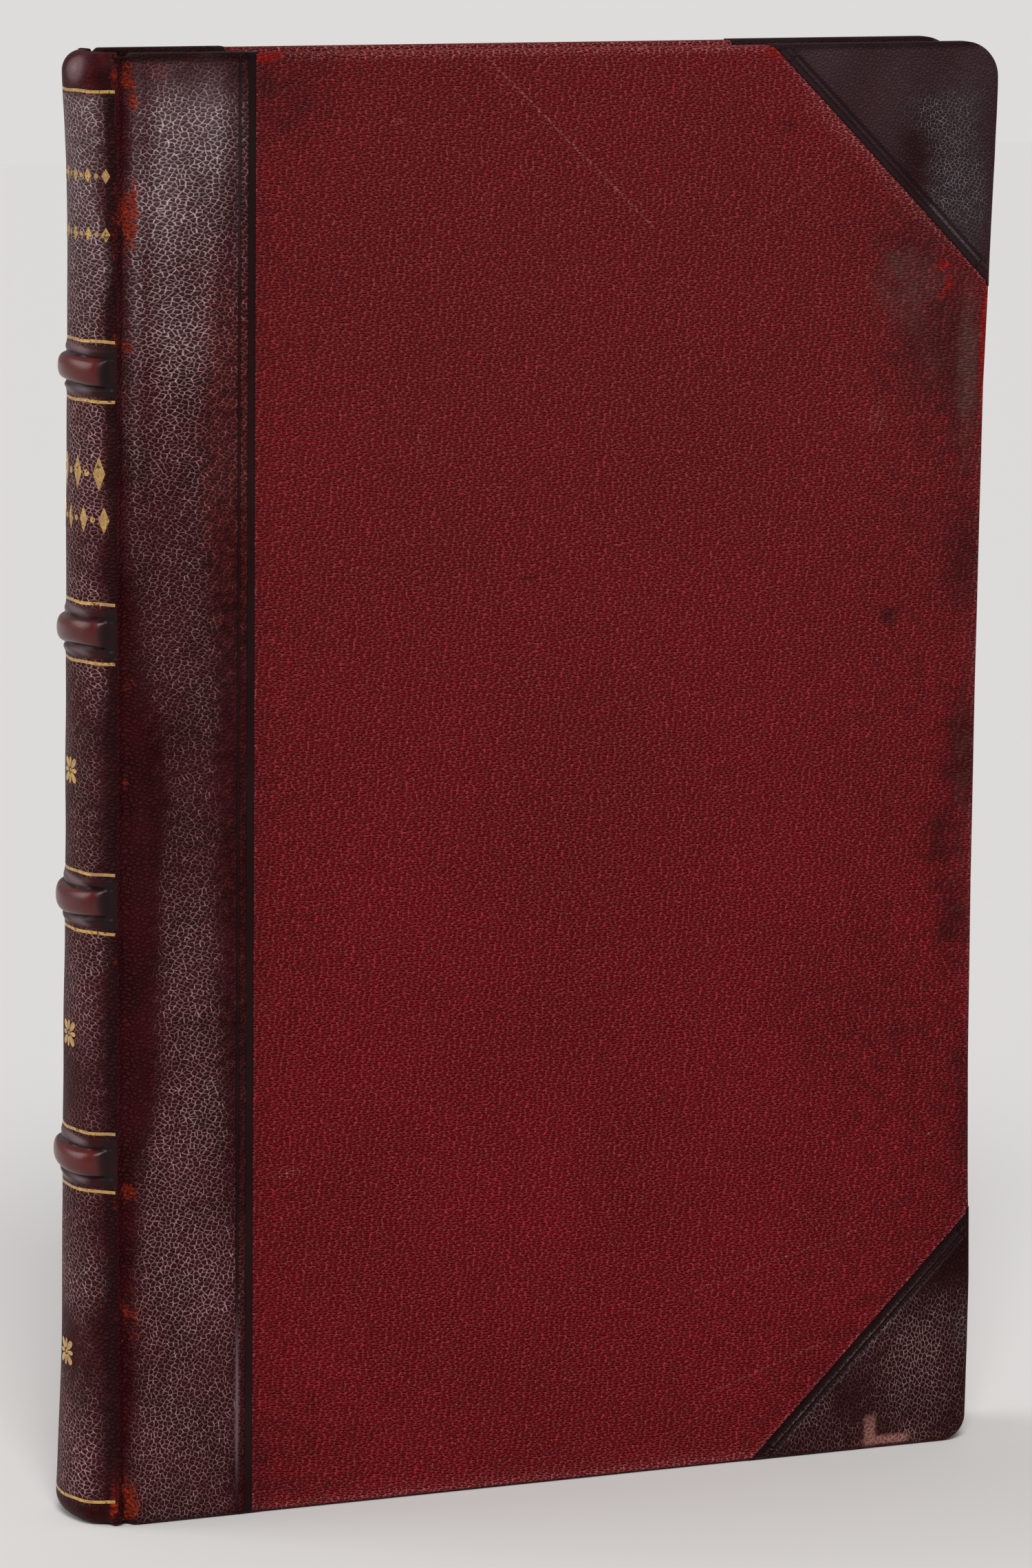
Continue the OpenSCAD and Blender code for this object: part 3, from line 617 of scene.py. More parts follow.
def strip_wear(x, z, front):
    swell = swells(x, z, 21 if front else 22, 22)
    light = strip_light(x, z, swell)
    press = between(x, LINE_X - 0.02, LINE_X + 0.1, LINE_X + 0.5, LINE_X + 0.65)
    press = press + smooth(BAND_X - 0.03, BAND_X + 0.15, x)
    scuff = 1.3 * blob(x, z, 19.3, 20, 0.4, 15) + 0.3 * blob(x, z, 19.2, 225, 0.4, 20)
    joint_x = -0.3 + 0.6 * waves(x, z, 14, 9)
    orange = sum(much * bump(z, z0, half) * bump(x, joint_x, 1.5 + 0.1 * half)
                 for z0, half, much in STRIP_RAW)
    film_and_sheen = strip_film_and_sheen(x, z, light) + scuff
    rubbed = light * (1 - 0.55 * smooth(239, 246, z)) * fade(248, 249.4, z)
    # Painted shade along the head edge, where the leather turns over; also darker along the tail edge
    dark = 0.95 * smooth(248.2, 249.4, z) * (1 - 0.5 * blob(x, z, 13, 249, 3, 3))
    dark = dark + 0.35 * fade(0.5, 1.6, z)
    shine = 0.15 + 0.15 * swell + 0.2 * press
    return {"net": 0.1 + 0.84 * rubbed, "film_and_sheen": film_and_sheen, "red": strip_red(x, z),
            "orange": orange * (1 if front else 0.45), "flat": press, "shine": shine,
            "press": press - scuff, "dark": np.clip(dark, 0, 0.95)}


def slant_distance(x, z):
    """Distance from the cloth's slanted edges, positive on the cloth."""
    nearer_end = np.minimum(COVER_H - z, z)
    return (COVER_W - CORNER_LEG + nearer_end - x) / ROOT2


def cloth_level(x, z):
    """The cloth's depth: a little lower over the board than at its cut edges, which lie over the leather."""
    near_cut = fade(0.2, 2.5, np.minimum(x - STRIP_W, slant_distance(x, z)))
    return CLOTH_SINK - 0.1 * near_cut + 0.03 * waves(x, z, 9, 30) * (1 - near_cut)


def cloth_row(along, b, side):
    """A row of the cloth at b up the sheet, from the strip to the fore-edge or a slant, and its sheet."""
    low, high = CLOTH_RING, COVER_H - CLOTH_RING
    past = max(low - b, b - high, 0.0)
    reach, depth = rolled(past, CLOTH_T, CLOTH_EDGE)
    if past > 0:
        z = low - reach if b < low else high + reach
        right = COVER_W - CORNER_LEG + CLOTH_RING - max(past - CLOTH_ROLL, 0.0)
    else:
        z = b
        right = min(COVER_W - CORNER_LEG + min(b, COVER_H - b), COVER_W - CLOTH_RING)
    x = STRIP_W + (right - STRIP_W) * along
    z = z + 0 * x
    return in_frame(bow(x, z), depth + cloth_level(x, b + 0 * x), z, side), on_sheet(x, b)


def cloth_edge_row(z0, k, side):
    """A line of the cloth along the fore-edge, k past the start of its round, and its sheet."""
    reach, depth = rolled(k, CLOTH_T, CLOTH_EDGE)
    pull = 1 - max(k - CLOTH_ROLL, 0.0) / (COVER_H / 2 - CORNER_LEG)
    z = COVER_H / 2 + (z0 - COVER_H / 2) * pull
    x = COVER_W - CLOTH_RING + reach + 0 * z0
    return in_frame(bow(x, z0), depth + cloth_level(x, z0), z, side), on_sheet(COVER_W - CLOTH_RING + k, z0)


def make_cloth(cover, side, front):
    cols, pitch = (146, 0.93) if front else (80, 1.7)
    low, high = CLOTH_RING, COVER_H - CLOTH_RING
    steps = roll_steps(CLOTH_T, CLOTH_EDGE)
    middle = span(CORNER_LEG, COVER_H - CORNER_LEG, pitch)
    below = [low - k for k in steps[::-1]] + span(low, CORNER_LEG, pitch)[:-1]
    heights = below + middle + span(COVER_H - CORNER_LEG, high, pitch)[1:] + [high + k for k in steps]
    rows = [cloth_row(np.linspace(0, 1, cols), b, side) for b in heights]
    rows += [cloth_edge_row(np.array(middle), k, side) for k in steps]
    faces = grid_faces(len(heights), cols, flip=side > 0)
    previous = [(len(below) + i) * cols + cols - 1 for i in range(len(middle))]
    start = len(heights) * cols
    for _ in steps:
        line = list(range(start, start + len(middle)))
        for a, b, c, d in zip(previous, line, line[1:], previous[1:]):
            faces.append((d, c, b, a) if side > 0 else (a, b, c, d))
        previous = line
        start += len(middle)
    sheet = np.concatenate([row[1] for row in rows])
    layers = cloth_wear(sheet[:, 0], sheet[:, 1], front)
    layers["sheet"] = sheet if front else sheet + BACK_SHEET
    points = np.concatenate([row[0] for row in rows])
    piece = add_skin(f"{cover}_cloth_skin", points, faces, layers, CLOTH_SKIN, "book_cloth")
    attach(piece, f"{cover}_cover")
    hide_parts(f"{cover}_cloth_side")


def cloth_rub(x, z):
    edge = np.minimum(np.minimum(z, COVER_H - z), COVER_W - x)
    slant = slant_distance(x, z)
    rub = 0.75 * fade(0.0, 2.2, edge) + 0.8 * fade(0.1, 0.9, slant)
    rub = rub + 0.4 * fade(0.0, 0.9, x - STRIP_W)
    rub = rub + 0.55 * fade(0.5, 4.5, slant) * between(z, 208, 222, 236, 247)
    return rub + 0.3 * fade(0, 10, z) + 0.15 * smooth(225, 246, z)


def cloth_stain_and_shade(x, z, front):
    swell = swells(x, z, 31 if front else 41, 60)
    # Painted shade: darker towards the fore-edge, beside the strip, towards the tail, and at the head's spine
    # end; with a slow random swell of tone
    stain_and_shade = 0.3 * smooth(95, 150, x) + 0.24 * fade(24, 50, x) + 0.2 * fade(0, 50, z)
    stain_and_shade = stain_and_shade + 0.14 * fade(22, 27, x) + 0.12 * (swell - 0.5)
    return stain_and_shade + 0.3 * smooth(238, 250, z) * fade(30, 60, x)


def cloth_wear(x, z, front):
    rub = cloth_rub(x, z)
    stain_and_shade = cloth_stain_and_shade(x, z, front)
    bright = dust = 0 * x
    if front:
        bright = spots(x, z, BRIGHT_SPOTS)
        stain_and_shade = stain_and_shade + spots(x, z, STAINS)
        rub = rub + spots(x, z, SCUFFS)
        dust = 0.9 * spots(x, z, DUST)
    return {"rub": np.clip(rub, 0, 1), "bright": np.clip(bright, 0, 1.2), "stain_and_shade": np.clip(stain_and_shade, 0, 1),
            "faded": 0.42 * smooth(60, 220, z) + 0.2 * blob(x, z, 150, 200, 16, 26),
            "dust": np.clip(dust, 0, 1)}


# Corners. u runs from the fore-edge to the spine and v from the cover's end edge, both into the cover

def corner_outline(radius):
    """Start of a corner's round: places and outward normals."""
    inset = LEATHER_EDGE
    leg = span(radius, CORNER_LEG - inset, 0.8)[1:]
    track = [((u, inset), (0, -1)) for u in leg[::-1]]
    for a in np.linspace(270, 180, 15):
        c, s = math.cos(math.radians(a)), math.sin(math.radians(a))
        track.append(((radius + (radius - inset) * c, radius + (radius - inset) * s), (c, s)))
    return track + [((inset, v), (-1, 0)) for v in leg]


def corner_face(u, v):
    """A corner's face from its slanted cut to a place of its outline: u, v, depth, distance from the cut."""
    far = (CORNER_LEG - u - v) / ROOT2
    if far > CORNER_TOOLING[-1]:
        body = np.linspace(CORNER_TOOLING[-1], far, CORNER_ROWS + 1)[1:]
        w = np.concatenate([CORNER_TOOLING, body])
    else:
        w = np.linspace(CORNER_TOOLING[0], far, len(CORNER_TOOLING) + CORNER_ROWS)
    back = (far - w) / ROOT2
    band = np.where(w > 0, between(w, 0.1, 0.2, 1.15, 1.3), 1.0)
    line = between(w, 1.75, 1.85, 2.25, 2.4)
    under = 0.4 * fade(-0.2, 0.05, w)
    return u + back, v + back, 0.2 * band + 0.14 * line + under, w


def corner_turn(u, v, out_u, out_v):
    """A corner past its face, round the edge and along its turn-in: u, v, depth, and the sheet's u and v."""
    s = np.array(roll_steps(COVER_T, LEATHER_EDGE))
    reach, depth = rolled(s, COVER_T, LEATHER_EDGE)
    inside = np.maximum(s - LEATHER_ROLL, 0.0)
    ring = LEATHER_EDGE
    leg_end = CORNER_LEG - ring
    creep = (ring + 0.15) * smooth(0, ring, s)      # the slant's cut runs on over the edge
    along_end, along_side = out_v == -1, out_u == -1
    edge_u = u + out_u * reach + along_end * creep * smooth(CORNER_LEG - 6, leg_end, u)
    edge_v = v + out_v * reach + along_side * creep * smooth(CORNER_LEG - 6, leg_end, v)
    turned_u = turned_v = ring + inside
    if along_end:
        turned_u = np.maximum(u, ring + inside) + inside * smooth(TURN_IN + 2, leg_end, u)
    elif along_side:
        turned_v = np.maximum(v, ring + inside) + inside * smooth(TURN_IN + 2, leg_end, v)
    place_u = np.where(inside > 0, turned_u, edge_u)
    place_v = np.where(inside > 0, turned_v, edge_v)
    return place_u, place_v, depth, u + out_u * s, v + out_v * s


def corner_grid(radius):
    """Rows of a corner's leather, one for each place of its outline."""
    rows = []
    for (u, v), normal in corner_outline(radius):
        face_u, face_v, face_depth, w = corner_face(u, v)
        turn_u, turn_v, turn_depth, sheet_u, sheet_v = corner_turn(u, v, *normal)
        face = np.stack([face_u, face_v, face_depth, face_u, face_v, w])
        turn = np.stack([turn_u, turn_v, turn_depth, sheet_u, sheet_v, 0 * turn_u + OFF_FACE])
        rows.append(np.concatenate([face, turn], 1))
    return rows


def make_corner(cover, end, side, front):
    head = end == "head"
    rows = corner_grid(HEAD_CORNER_R if head else TAIL_CORNER_R)
    u, v, depth, sheet_u, sheet_v, w = np.concatenate(rows, 1)
    x, flat_x = COVER_W - u, COVER_W - sheet_u
    z, flat_z = (COVER_H - v, COVER_H - sheet_v) if head else (v, sheet_v)
    points = in_frame(bow(x, z), depth + 0.04 * waves(x, z, 13, 12) * (depth < 0.6), z, side)
    wear = head_corner_wear if head else tail_corner_wear
    layers = corner_wear(flat_x, flat_z, w, wear, front)
    flat = on_sheet(flat_x, flat_z)
    grain = HEAD_CORNER_GRAIN if head else TAIL_CORNER_GRAIN
    layers["sheet"] = flat if front else flat + BACK_SHEET
    layers["grain"] = flat * np.array([*grain, 1.0]) + (0 if front else BACK_GRAIN)
    faces = grid_faces(len(rows), rows[0].shape[1], flip=(side < 0) == head)
    piece = add_skin(f"{cover}_{end}_corner_skin", points, faces, layers, LEATHER_SKIN, "leather")
    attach(piece, f"{cover}_cover")
    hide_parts(f"{cover}_{end}_corner")


def head_corner_wear(x, z, w, edge, press):
    swell = swells(x, z, 51, 16)
    patch = blob(x, z, 154, 226, 7, 14) + 0.7 * blob(x, z, 146, 238, 5, 4) + 0.5 * blob(x, z, 148, 228, 3, 9)
    patch = np.clip(patch, 0, 1.1) * smooth(0.2, 2.5, edge) * (0.7 + 0.6 * swell)
    # Painted sheen on the ridge beside the tooled line at the slant, added to the grey film
    ridge = (w < OFF_FACE) * bump(w, 1.7, 0.5) * bump(x, 150, 6) * (z < 222)
    film_and_sheen = 0.38 - 0.06 * patch + 0.1 * swell - 0.3 * blob(x, z, 145, 231, 4, 9) + 0.7 * ridge
    # A little darker all over, and painted shade along the edges, where the leather turns away
    return {"net": 0.02 + 0.55 * patch + 0.1 * swell, "film_and_sheen": film_and_sheen,
            "red": 0.1 + 0.25 * fade(0, 1.6, edge), "orange": 0 * x,
            "grey": np.clip(0.5 + 0.5 * patch, 0, 1),
            "flat": press + 0.15 * fade(125, 147, x) * (1 - patch) + 0.1,
            "dark": 0.1 + 0.6 * smooth(1.4, 0.4, edge) * (x < 155)}


def tail_corner_wear(x, z, w, edge, press):
    swell = swells(x, z, 52, 16)
    # Painted sheen on the ridges beside the tooled band and line at the slant
    lines = (w < OFF_FACE) * (bump(w, 1.5, 0.2) + bump(w, 2.75, 0.25))
    orange = 0.6 * fade(0.0, 1.3, edge) * smooth(148, 156, x) * (z < 12)
    # A darker ground and a darker spot, and painted shade along the edges where the leather turns away
    dark = 0.5 + 0.2 * smooth(1.2, 0.4, edge) + 0.2 * blob(x, z, 155, 34, 6, 9)
    return {"net": 0.36 + 0.2 * swell + 0.42 * blob(x, z, 149, 18, 7, 9) - 0.55 * blob(x, z, 154, 36, 6, 9),
            "film_and_sheen": 0.4 * blob(x, z, 157.5, 20, 3, 5) + 0.9 * lines,
            "red": 0.12 + 0.6 * fade(0, 1.8, edge) + 0.3 * blob(x, z, 156, 4, 4, 4),
            "orange": orange + 0.35 * fade(0.0, 0.9, edge) * (x > 130),
            "grey": 0 * x, "flat": press, "dark": dark * (1 - blob(x, z, 143, 2, 6, 4))}


def corner_wear(x, z, w, wear, front):
    edge = np.minimum(np.minimum(z, COVER_H - z), COVER_W - x)
    press = 0.6 * between(w, 0.05, 0.2, 1.15, 1.3) + between(w, 1.72, 1.85, 2.25, 2.4)
    press = press + 0.4 * bump(w, 1.15, 0.15) + 0.4 * bump(w, 0.1, 0.2)
    press = (w < OFF_FACE) * np.clip(press + (w <= 0.05), 0, 1)
    layers = wear(x, z, w, edge, press)
    layers["net"] = layers["net"] * (1 - press)
    if not front:
        layers["orange"] = 0.5 * layers["orange"]
    most = {"dark": 0.8, "film_and_sheen": 2}
    layers = {key: np.clip(values, 0, most.get(key, 1)) for key, values in layers.items()}
    return {**layers, "shine": 0.18 + 0.2 * press, "press": press}


# Gold tooling

def ribbon(name, z_line):
    cols = np.array(span(-CREST_S + 0.5, CREST_S - 0.35, 0.35))
    heights = [z_line + 0.06 * np.sin(cols * 0.9 + z_line) + k * GILT_LINE_W / 2 for k in (-1, 0, 1)]
    points = np.concatenate([spine_point(cols, z, lift=GILT_LIFT) for z in heights])
    sheet = np.concatenate([on_sheet(cols, z) for z in heights])
    return add_mesh(name, points, grid_faces(len(heights), len(cols)), {"sheet": sheet})


def stamp(name, outline, s0, z0):
    """A flat gold shape laid on the spine, from its outline round its own middle."""
    outline = np.array(outline, float)
    middle = np.round(outline.mean(0), 6)
    outline = outline - middle
    rings = [outline, outline * 0.6, outline * 0.25]
    flat = np.concatenate(rings + [np.zeros((1, 2))])
    n = len(outline)
    around = [(i, (i + 1) % n) for i in range(n)]
    faces = [(r * n + i, r * n + j, (r + 1) * n + j, (r + 1) * n + i) for r in (0, 1) for i, j in around]
    faces += [(2 * n + i, 2 * n + j, 3 * n) for i, j in around]
    s, z = s0 + middle[0] + flat[:, 0], z0 + middle[1] + flat[:, 1]
    return add_mesh(name, spine_point(s, z, lift=GILT_LIFT), faces, {"sheet": on_sheet(s, z)})


def circle_points(radius, n=20):
    angles = [2 * math.pi * k / n for k in range(n)]
    return [(radius * math.cos(a), radius * math.sin(a)) for a in angles]


def petal(length, width, angle):
    inner = 0.55
    turn, lean = math.cos(angle), math.sin(angle)
    points = []
    for k in range(14):
        a = 2 * math.pi * k / 14
        out = 0.5 - 0.5 * math.cos(a)
        px = inner + length * out
        py = width / 2 * math.sin(a) * (0.75 + 0.5 * out)
        points.append((px * turn - py * lean, px * lean + py * turn))
    return points


def lozenge(wide, tall):
    shape = [(0, -1), (0.55, -0.45), (1, 0), (0.55, 0.45), (0, 1), (-0.55, 0.45), (-1, 0), (-0.55, -0.45)]
    return [(wide * a, tall * b) for a, b in shape]


def rosette_parts():
    """A round heart with eight petals, the diagonal ones larger."""
    parts = []
    for i, z in enumerate(ROSETTES):
        parts.append(stamp(f"heart_{i}", circle_points(0.36), 0.2, z))
        for k in range(8):
            length, width = (2.25, 1.15) if k % 2 else (1.75, 0.75)
            parts.append(stamp(f"petal_{i}_{k}", petal(length, width, math.pi / 4 * k), 0.2, z))
    return parts


def ornament_parts():
    """Rows of lozenges and dots in the places of the lettering, which isn't copied."""
    parts = []
    for i, (z, tall, wide, count) in enumerate(ORNAMENT_ROWS):
        for k in range(count):
            shape = circle_points(wide * 0.24) if k % 2 else lozenge(wide * 0.46, tall * 0.5)
            parts.append(stamp(f"ornament_{i}_{k}", shape, (k - (count - 1) / 2) * wide, z))
    return parts


def add_gold(name, parts, gold):
    """Joins flat gold shapes into one piece and gives it a thickness."""
    for other in bpy.context.selected_objects:
        other.select_set(False)
    for part in parts:
        part.select_set(True)
    piece = parts[0]
    bpy.context.view_layer.objects.active = piece
    bpy.ops.object.join()
    piece.name = name
    thicken(piece, GILT_SKIN)
    piece.data.name = name
    piece.data.materials.append(gold)
    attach(piece, "book")


# Materials

class Graph:
    """Short ways to build a material's nodes."""

    def __init__(self, name):
        self.material = bpy.data.materials.new(name)
        self.material.use_nodes = True
        self.nodes = self.material.node_tree.nodes
        self.links = self.material.node_tree.links
        self.nodes.clear()
        self.layers = {}
        out = self.nodes.new("ShaderNodeOutputMaterial")
        self.shader = self.nodes.new("ShaderNodeBsdfPrincipled")
        self.links.new(self.shader.outputs[0], out.inputs["Surface"])

    def put(self, socket, value):
        if isinstance(value, bpy.types.NodeSocket):
            self.links.new(value, socket)
        elif isinstance(value, (tuple, list)) and len(value) == 3 and socket.type == "RGBA":
            socket.default_value = (*value, 1.0)
        else:
            socket.default_value = value

    def node(self, kind, inputs=None, **settings):
        made = self.nodes.new(kind)
        for key, value in settings.items():
            setattr(made, key, value)
        for key, value in (inputs or {}).items():
            self.put(made.inputs[key], value)
        return made

    def layer(self, name, output="Fac"):
        """One of the values that a mesh carries at its points."""
        if name not in self.layers:
            self.layers[name] = self.node("ShaderNodeAttribute", attribute_name=name,
                                          attribute_type="GEOMETRY")
        return self.layers[name].outputs[output]

    def math(self, operation, a, b=0.0, clamp=False):
        return self.node("ShaderNodeMath", {0: a, 1: b}, operation=operation, use_clamp=clamp).outputs[0]

    def add(self, a, b, clamp=False):
        return self.math("ADD", a, b, clamp)

    def mul(self, a, b):
        return self.math("MULTIPLY", a, b)

    def sub(self, a, b, clamp=False):
        return self.math("SUBTRACT", a, b, clamp)

    def frayed(self, value, noise, much):
        """A value made uneven by a noise."""
        return self.add(value, self.mul(self.sub(noise, 0.5), much))

    def ease(self, value, low, high, out_low=0.0, out_high=1.0):
        ends = {"Value": value, "From Min": low, "From Max": high, "To Min": out_low, "To Max": out_high}
        return self.node("ShaderNodeMapRange", ends, interpolation_type="SMOOTHSTEP").outputs["Result"]

    def mix(self, share, a, b):
        made = self.node("ShaderNodeMix", data_type="RGBA")
        for socket, value in zip((made.inputs[0], made.inputs[6], made.inputs[7]), (share, a, b)):
            self.put(socket, value)
        return made.outputs[2]

    def scaled(self, vector, scale, offset=(0, 0, 0)):
        inputs = {"Vector": vector, "Scale": scale, "Location": offset}
        return self.node("ShaderNodeMapping", inputs).outputs[0]

    def rotated(self, vector, angle):
        turn = {"Vector": vector, "Angle": angle}
        return self.node("ShaderNodeVectorRotate", turn, rotation_type="Z_AXIS").outputs[0]

    def vector_math(self, operation, inputs, output="Vector"):
        return self.node("ShaderNodeVectorMath", inputs, operation=operation).outputs[output]

    def noise(self, vector, scale, detail=2.0, rough=0.5, output="Fac"):
        inputs = {"Vector": vector, "Scale": scale, "Detail": detail, "Roughness": rough}
        return self.node("ShaderNodeTexNoise", inputs).outputs[output]

    def voronoi(self, vector, random, feature="DISTANCE_TO_EDGE", scale=1.0, dims="2D"):
        inputs = {"Vector": vector, "Scale": scale, "Randomness": random}
        return self.node("ShaderNodeTexVoronoi", inputs, feature=feature,
                         voronoi_dimensions=dims).outputs["Distance"]

    def bump(self, height, strength, distance, normal=None):
        inputs = {"Height": height, "Strength": strength, "Distance": distance}
        if normal is not None:
            inputs["Normal"] = normal
        return self.node("ShaderNodeBump", inputs).outputs[0]

    def surface(self, colour, rough, normal=None):
        self.put(self.shader.inputs["Base Color"], colour)
        self.put(self.shader.inputs["Roughness"], rough)
        if normal is not None:
            self.put(self.shader.inputs["Normal"], normal)
        return self.material


def srgb(*levels):
    """A colour given as 0 to 255 on screen."""
    shares = [level / 255 for level in levels]
    return tuple(s / 12.92 if s <= 0.04045 else ((s + 0.055) / 1.055) ** 2.4 for s in shares)


# Colour of dirt, and of painted shade in creases and on edges that turn away
DIRT_AND_SHADE = srgb(20, 9, 10)
PEBBLE_RANDOM = 0.8


def warped(g, sheet, amount, scale):
    """Sheet coordinates pushed about a little, so that a pattern doesn't run straight."""
    noise = g.noise(sheet, scale, 1.0, output="Color")
    centred = g.vector_math("SUBTRACT", {0: noise, 1: (0.5, 0.5, 0.5)})
    return g.vector_math("ADD", {0: sheet, 1: g.vector_math("SCALE", {0: centred, "Scale": amount})})


def within(g, value, low, high, soft):
    """1 between low and high, with soft ends."""
    return g.mul(g.ease(value, low - soft, low + soft), g.sub(1.0, g.ease(value, high - soft, high + soft)))


def scraped(g, sheet, ragged):
    """The scrape at the front tail corner, an upright with a foot, in places of the sheet."""
    parts = g.node("ShaderNodeSeparateXYZ", {0: sheet}).outputs
    x, z = g.frayed(parts[0], ragged, 1.6), g.frayed(parts[1], ragged, 1.6)
    upright = g.mul(within(g, x, 138.8, 141.0, 0.4), within(g, z, 0.5, 6.2, 0.4))
    foot = g.mul(within(g, x, 138.8, 147.6, 0.8), within(g, z, 0.7, 2.2, 0.4))
    return g.math("MAXIMUM", upright, foot)


def scratches(g, sheet):
    """Fine light scratches on the front, in places of the sheet."""
    total = 0.0
    for (x0, z0), (x1, z1), much in SCRATCHES:
        length = math.hypot(x1 - x0, z1 - z0)
        along = ((x1 - x0) / length, (z1 - z0) / length, 0.0)
        across = (along[1], -along[0], 0.0)
        far = g.vector_math("DOT_PRODUCT", {0: sheet, 1: along}, "Value")
        off = g.vector_math("DOT_PRODUCT", {0: sheet, 1: across}, "Value")
        start = x0 * along[0] + z0 * along[1]
        middle = x0 * across[0] + z0 * across[1]
        thread = g.sub(1.0, g.ease(g.math("ABSOLUTE", g.sub(off, middle)), 0.1, 0.3))
        total = g.add(total, g.mul(g.mul(thread, within(g, far, start, start + length, 1.5)), much))
    return total


def leather_ground(g, sheet, medium, fine):
    """Nearly black maroon, redder where handled, greyer where dull, with a grey film where burnished and a
    painted sheen and highlight where the film layer is strongest, and darkened by dirt and painted shade.
    """
    grey, film_and_sheen = g.layer("grey"), g.layer("film_and_sheen")
    coarse = g.noise(sheet, 0.09, 3.0)
    colour = g.mix(g.ease(coarse, 0.35, 0.68), srgb(32, 5, 8), srgb(50, 9, 13))
    colour = g.mix(g.ease(medium, 0.35, 0.75, 0.0, 0.6), colour, srgb(44, 8, 11))
    handled = g.ease(g.frayed(g.layer("red"), medium, 0.9), 0.25, 0.95)
    colour = g.mix(g.mul(handled, 0.8), colour, srgb(84, 18, 16))
    colour = g.mix(g.mul(grey, 0.8), colour, srgb(38, 26, 28))
    # A grey film where burnished; past 1.1 the layer is a painted highlight, as on the headcap and on the
    # slopes beside the bands
    film_and_sheen_share = g.mul(g.ease(g.frayed(film_and_sheen, fine, 0.5), 0.1, 1.0), 0.5)
    film_and_sheen_share = g.add(film_and_sheen_share, g.mul(g.ease(film_and_sheen, 1.1, 1.8), 0.35))
    colour = g.mix(film_and_sheen_share, colour, g.mix(grey, srgb(126, 102, 106), srgb(96, 88, 94)))
    torn_off = g.mul(scraped(g, sheet, fine), g.ease(fine, 0.3, 0.5, 0.45, 0.85))
    colour = g.mix(torn_off, colour, srgb(152, 102, 94))
    # Dirt, and painted shade in creases and on edges that turn away
    return g.mix(g.mul(g.layer("dark"), 0.6), colour, DIRT_AND_SHADE)


def rubbed_lines_and_painted_light(g, sheet, bent, edge, small):
    """Light lines between the pebbles: broken, stronger along creases, and stronger on one side of a pebble
    as a painted highlight from the upper left.
    """
    wiry = g.noise(sheet, 1.4, 2.0)
    width = g.mul(g.add(0.08, g.mul(g.layer("net"), 0.14)), g.ease(wiry, 0.3, 0.7, 0.75, 1.3))
    line = g.sub(1.0, g.ease(edge, g.mul(width, 0.1), width))
    line = g.mul(line, g.ease(g.noise(sheet, 1.0, 2.0, 0.6), 0.32, 0.6, 0.45, 1.1))
    # Painted highlight: a line is stronger where a step towards the light brings it nearer a pebble's edge
    edge_toward_light = g.voronoi(g.scaled(bent, (1.0, 1.0, 1.0), PAINTED_LIGHT_SHIFT), PEBBLE_RANDOM)
    line = g.mul(line, g.ease(g.sub(edge, edge_toward_light), -0.08, 0.06, 0.3, 1.2))
    hair = g.sub(1.0, g.ease(small, 0.0, 0.1))
    lines = g.math("MAXIMUM", line, g.mul(hair, 0.16))
    creased = g.noise(g.scaled(g.rotated(sheet, -0.55), (0.22, 0.9, 1.0)), 1.0, 3.0, 0.6)
    return g.mul(lines, g.ease(creased, 0.35, 0.62, 0.6, 1.12))


def raw_skin(g, sheet):
    """Where the surface is rubbed through along the joints and corners, and the colour of the skin."""
    torn = g.noise(sheet, 1.6, 5.0, 0.75)
    patch = g.noise(sheet, 0.42, 3.0, 0.6)
    ragged = g.frayed(g.mul(g.sub(torn, 0.5), 1.4), patch, 2.0)
    orange = g.layer("orange")
    raw = g.mul(g.ease(g.add(orange, ragged), 0.35, 1.0), g.ease(orange, 0.02, 0.3))
    return raw, g.mix(g.ease(torn, 0.42, 0.66), srgb(88, 25, 16), srgb(166, 52, 24))


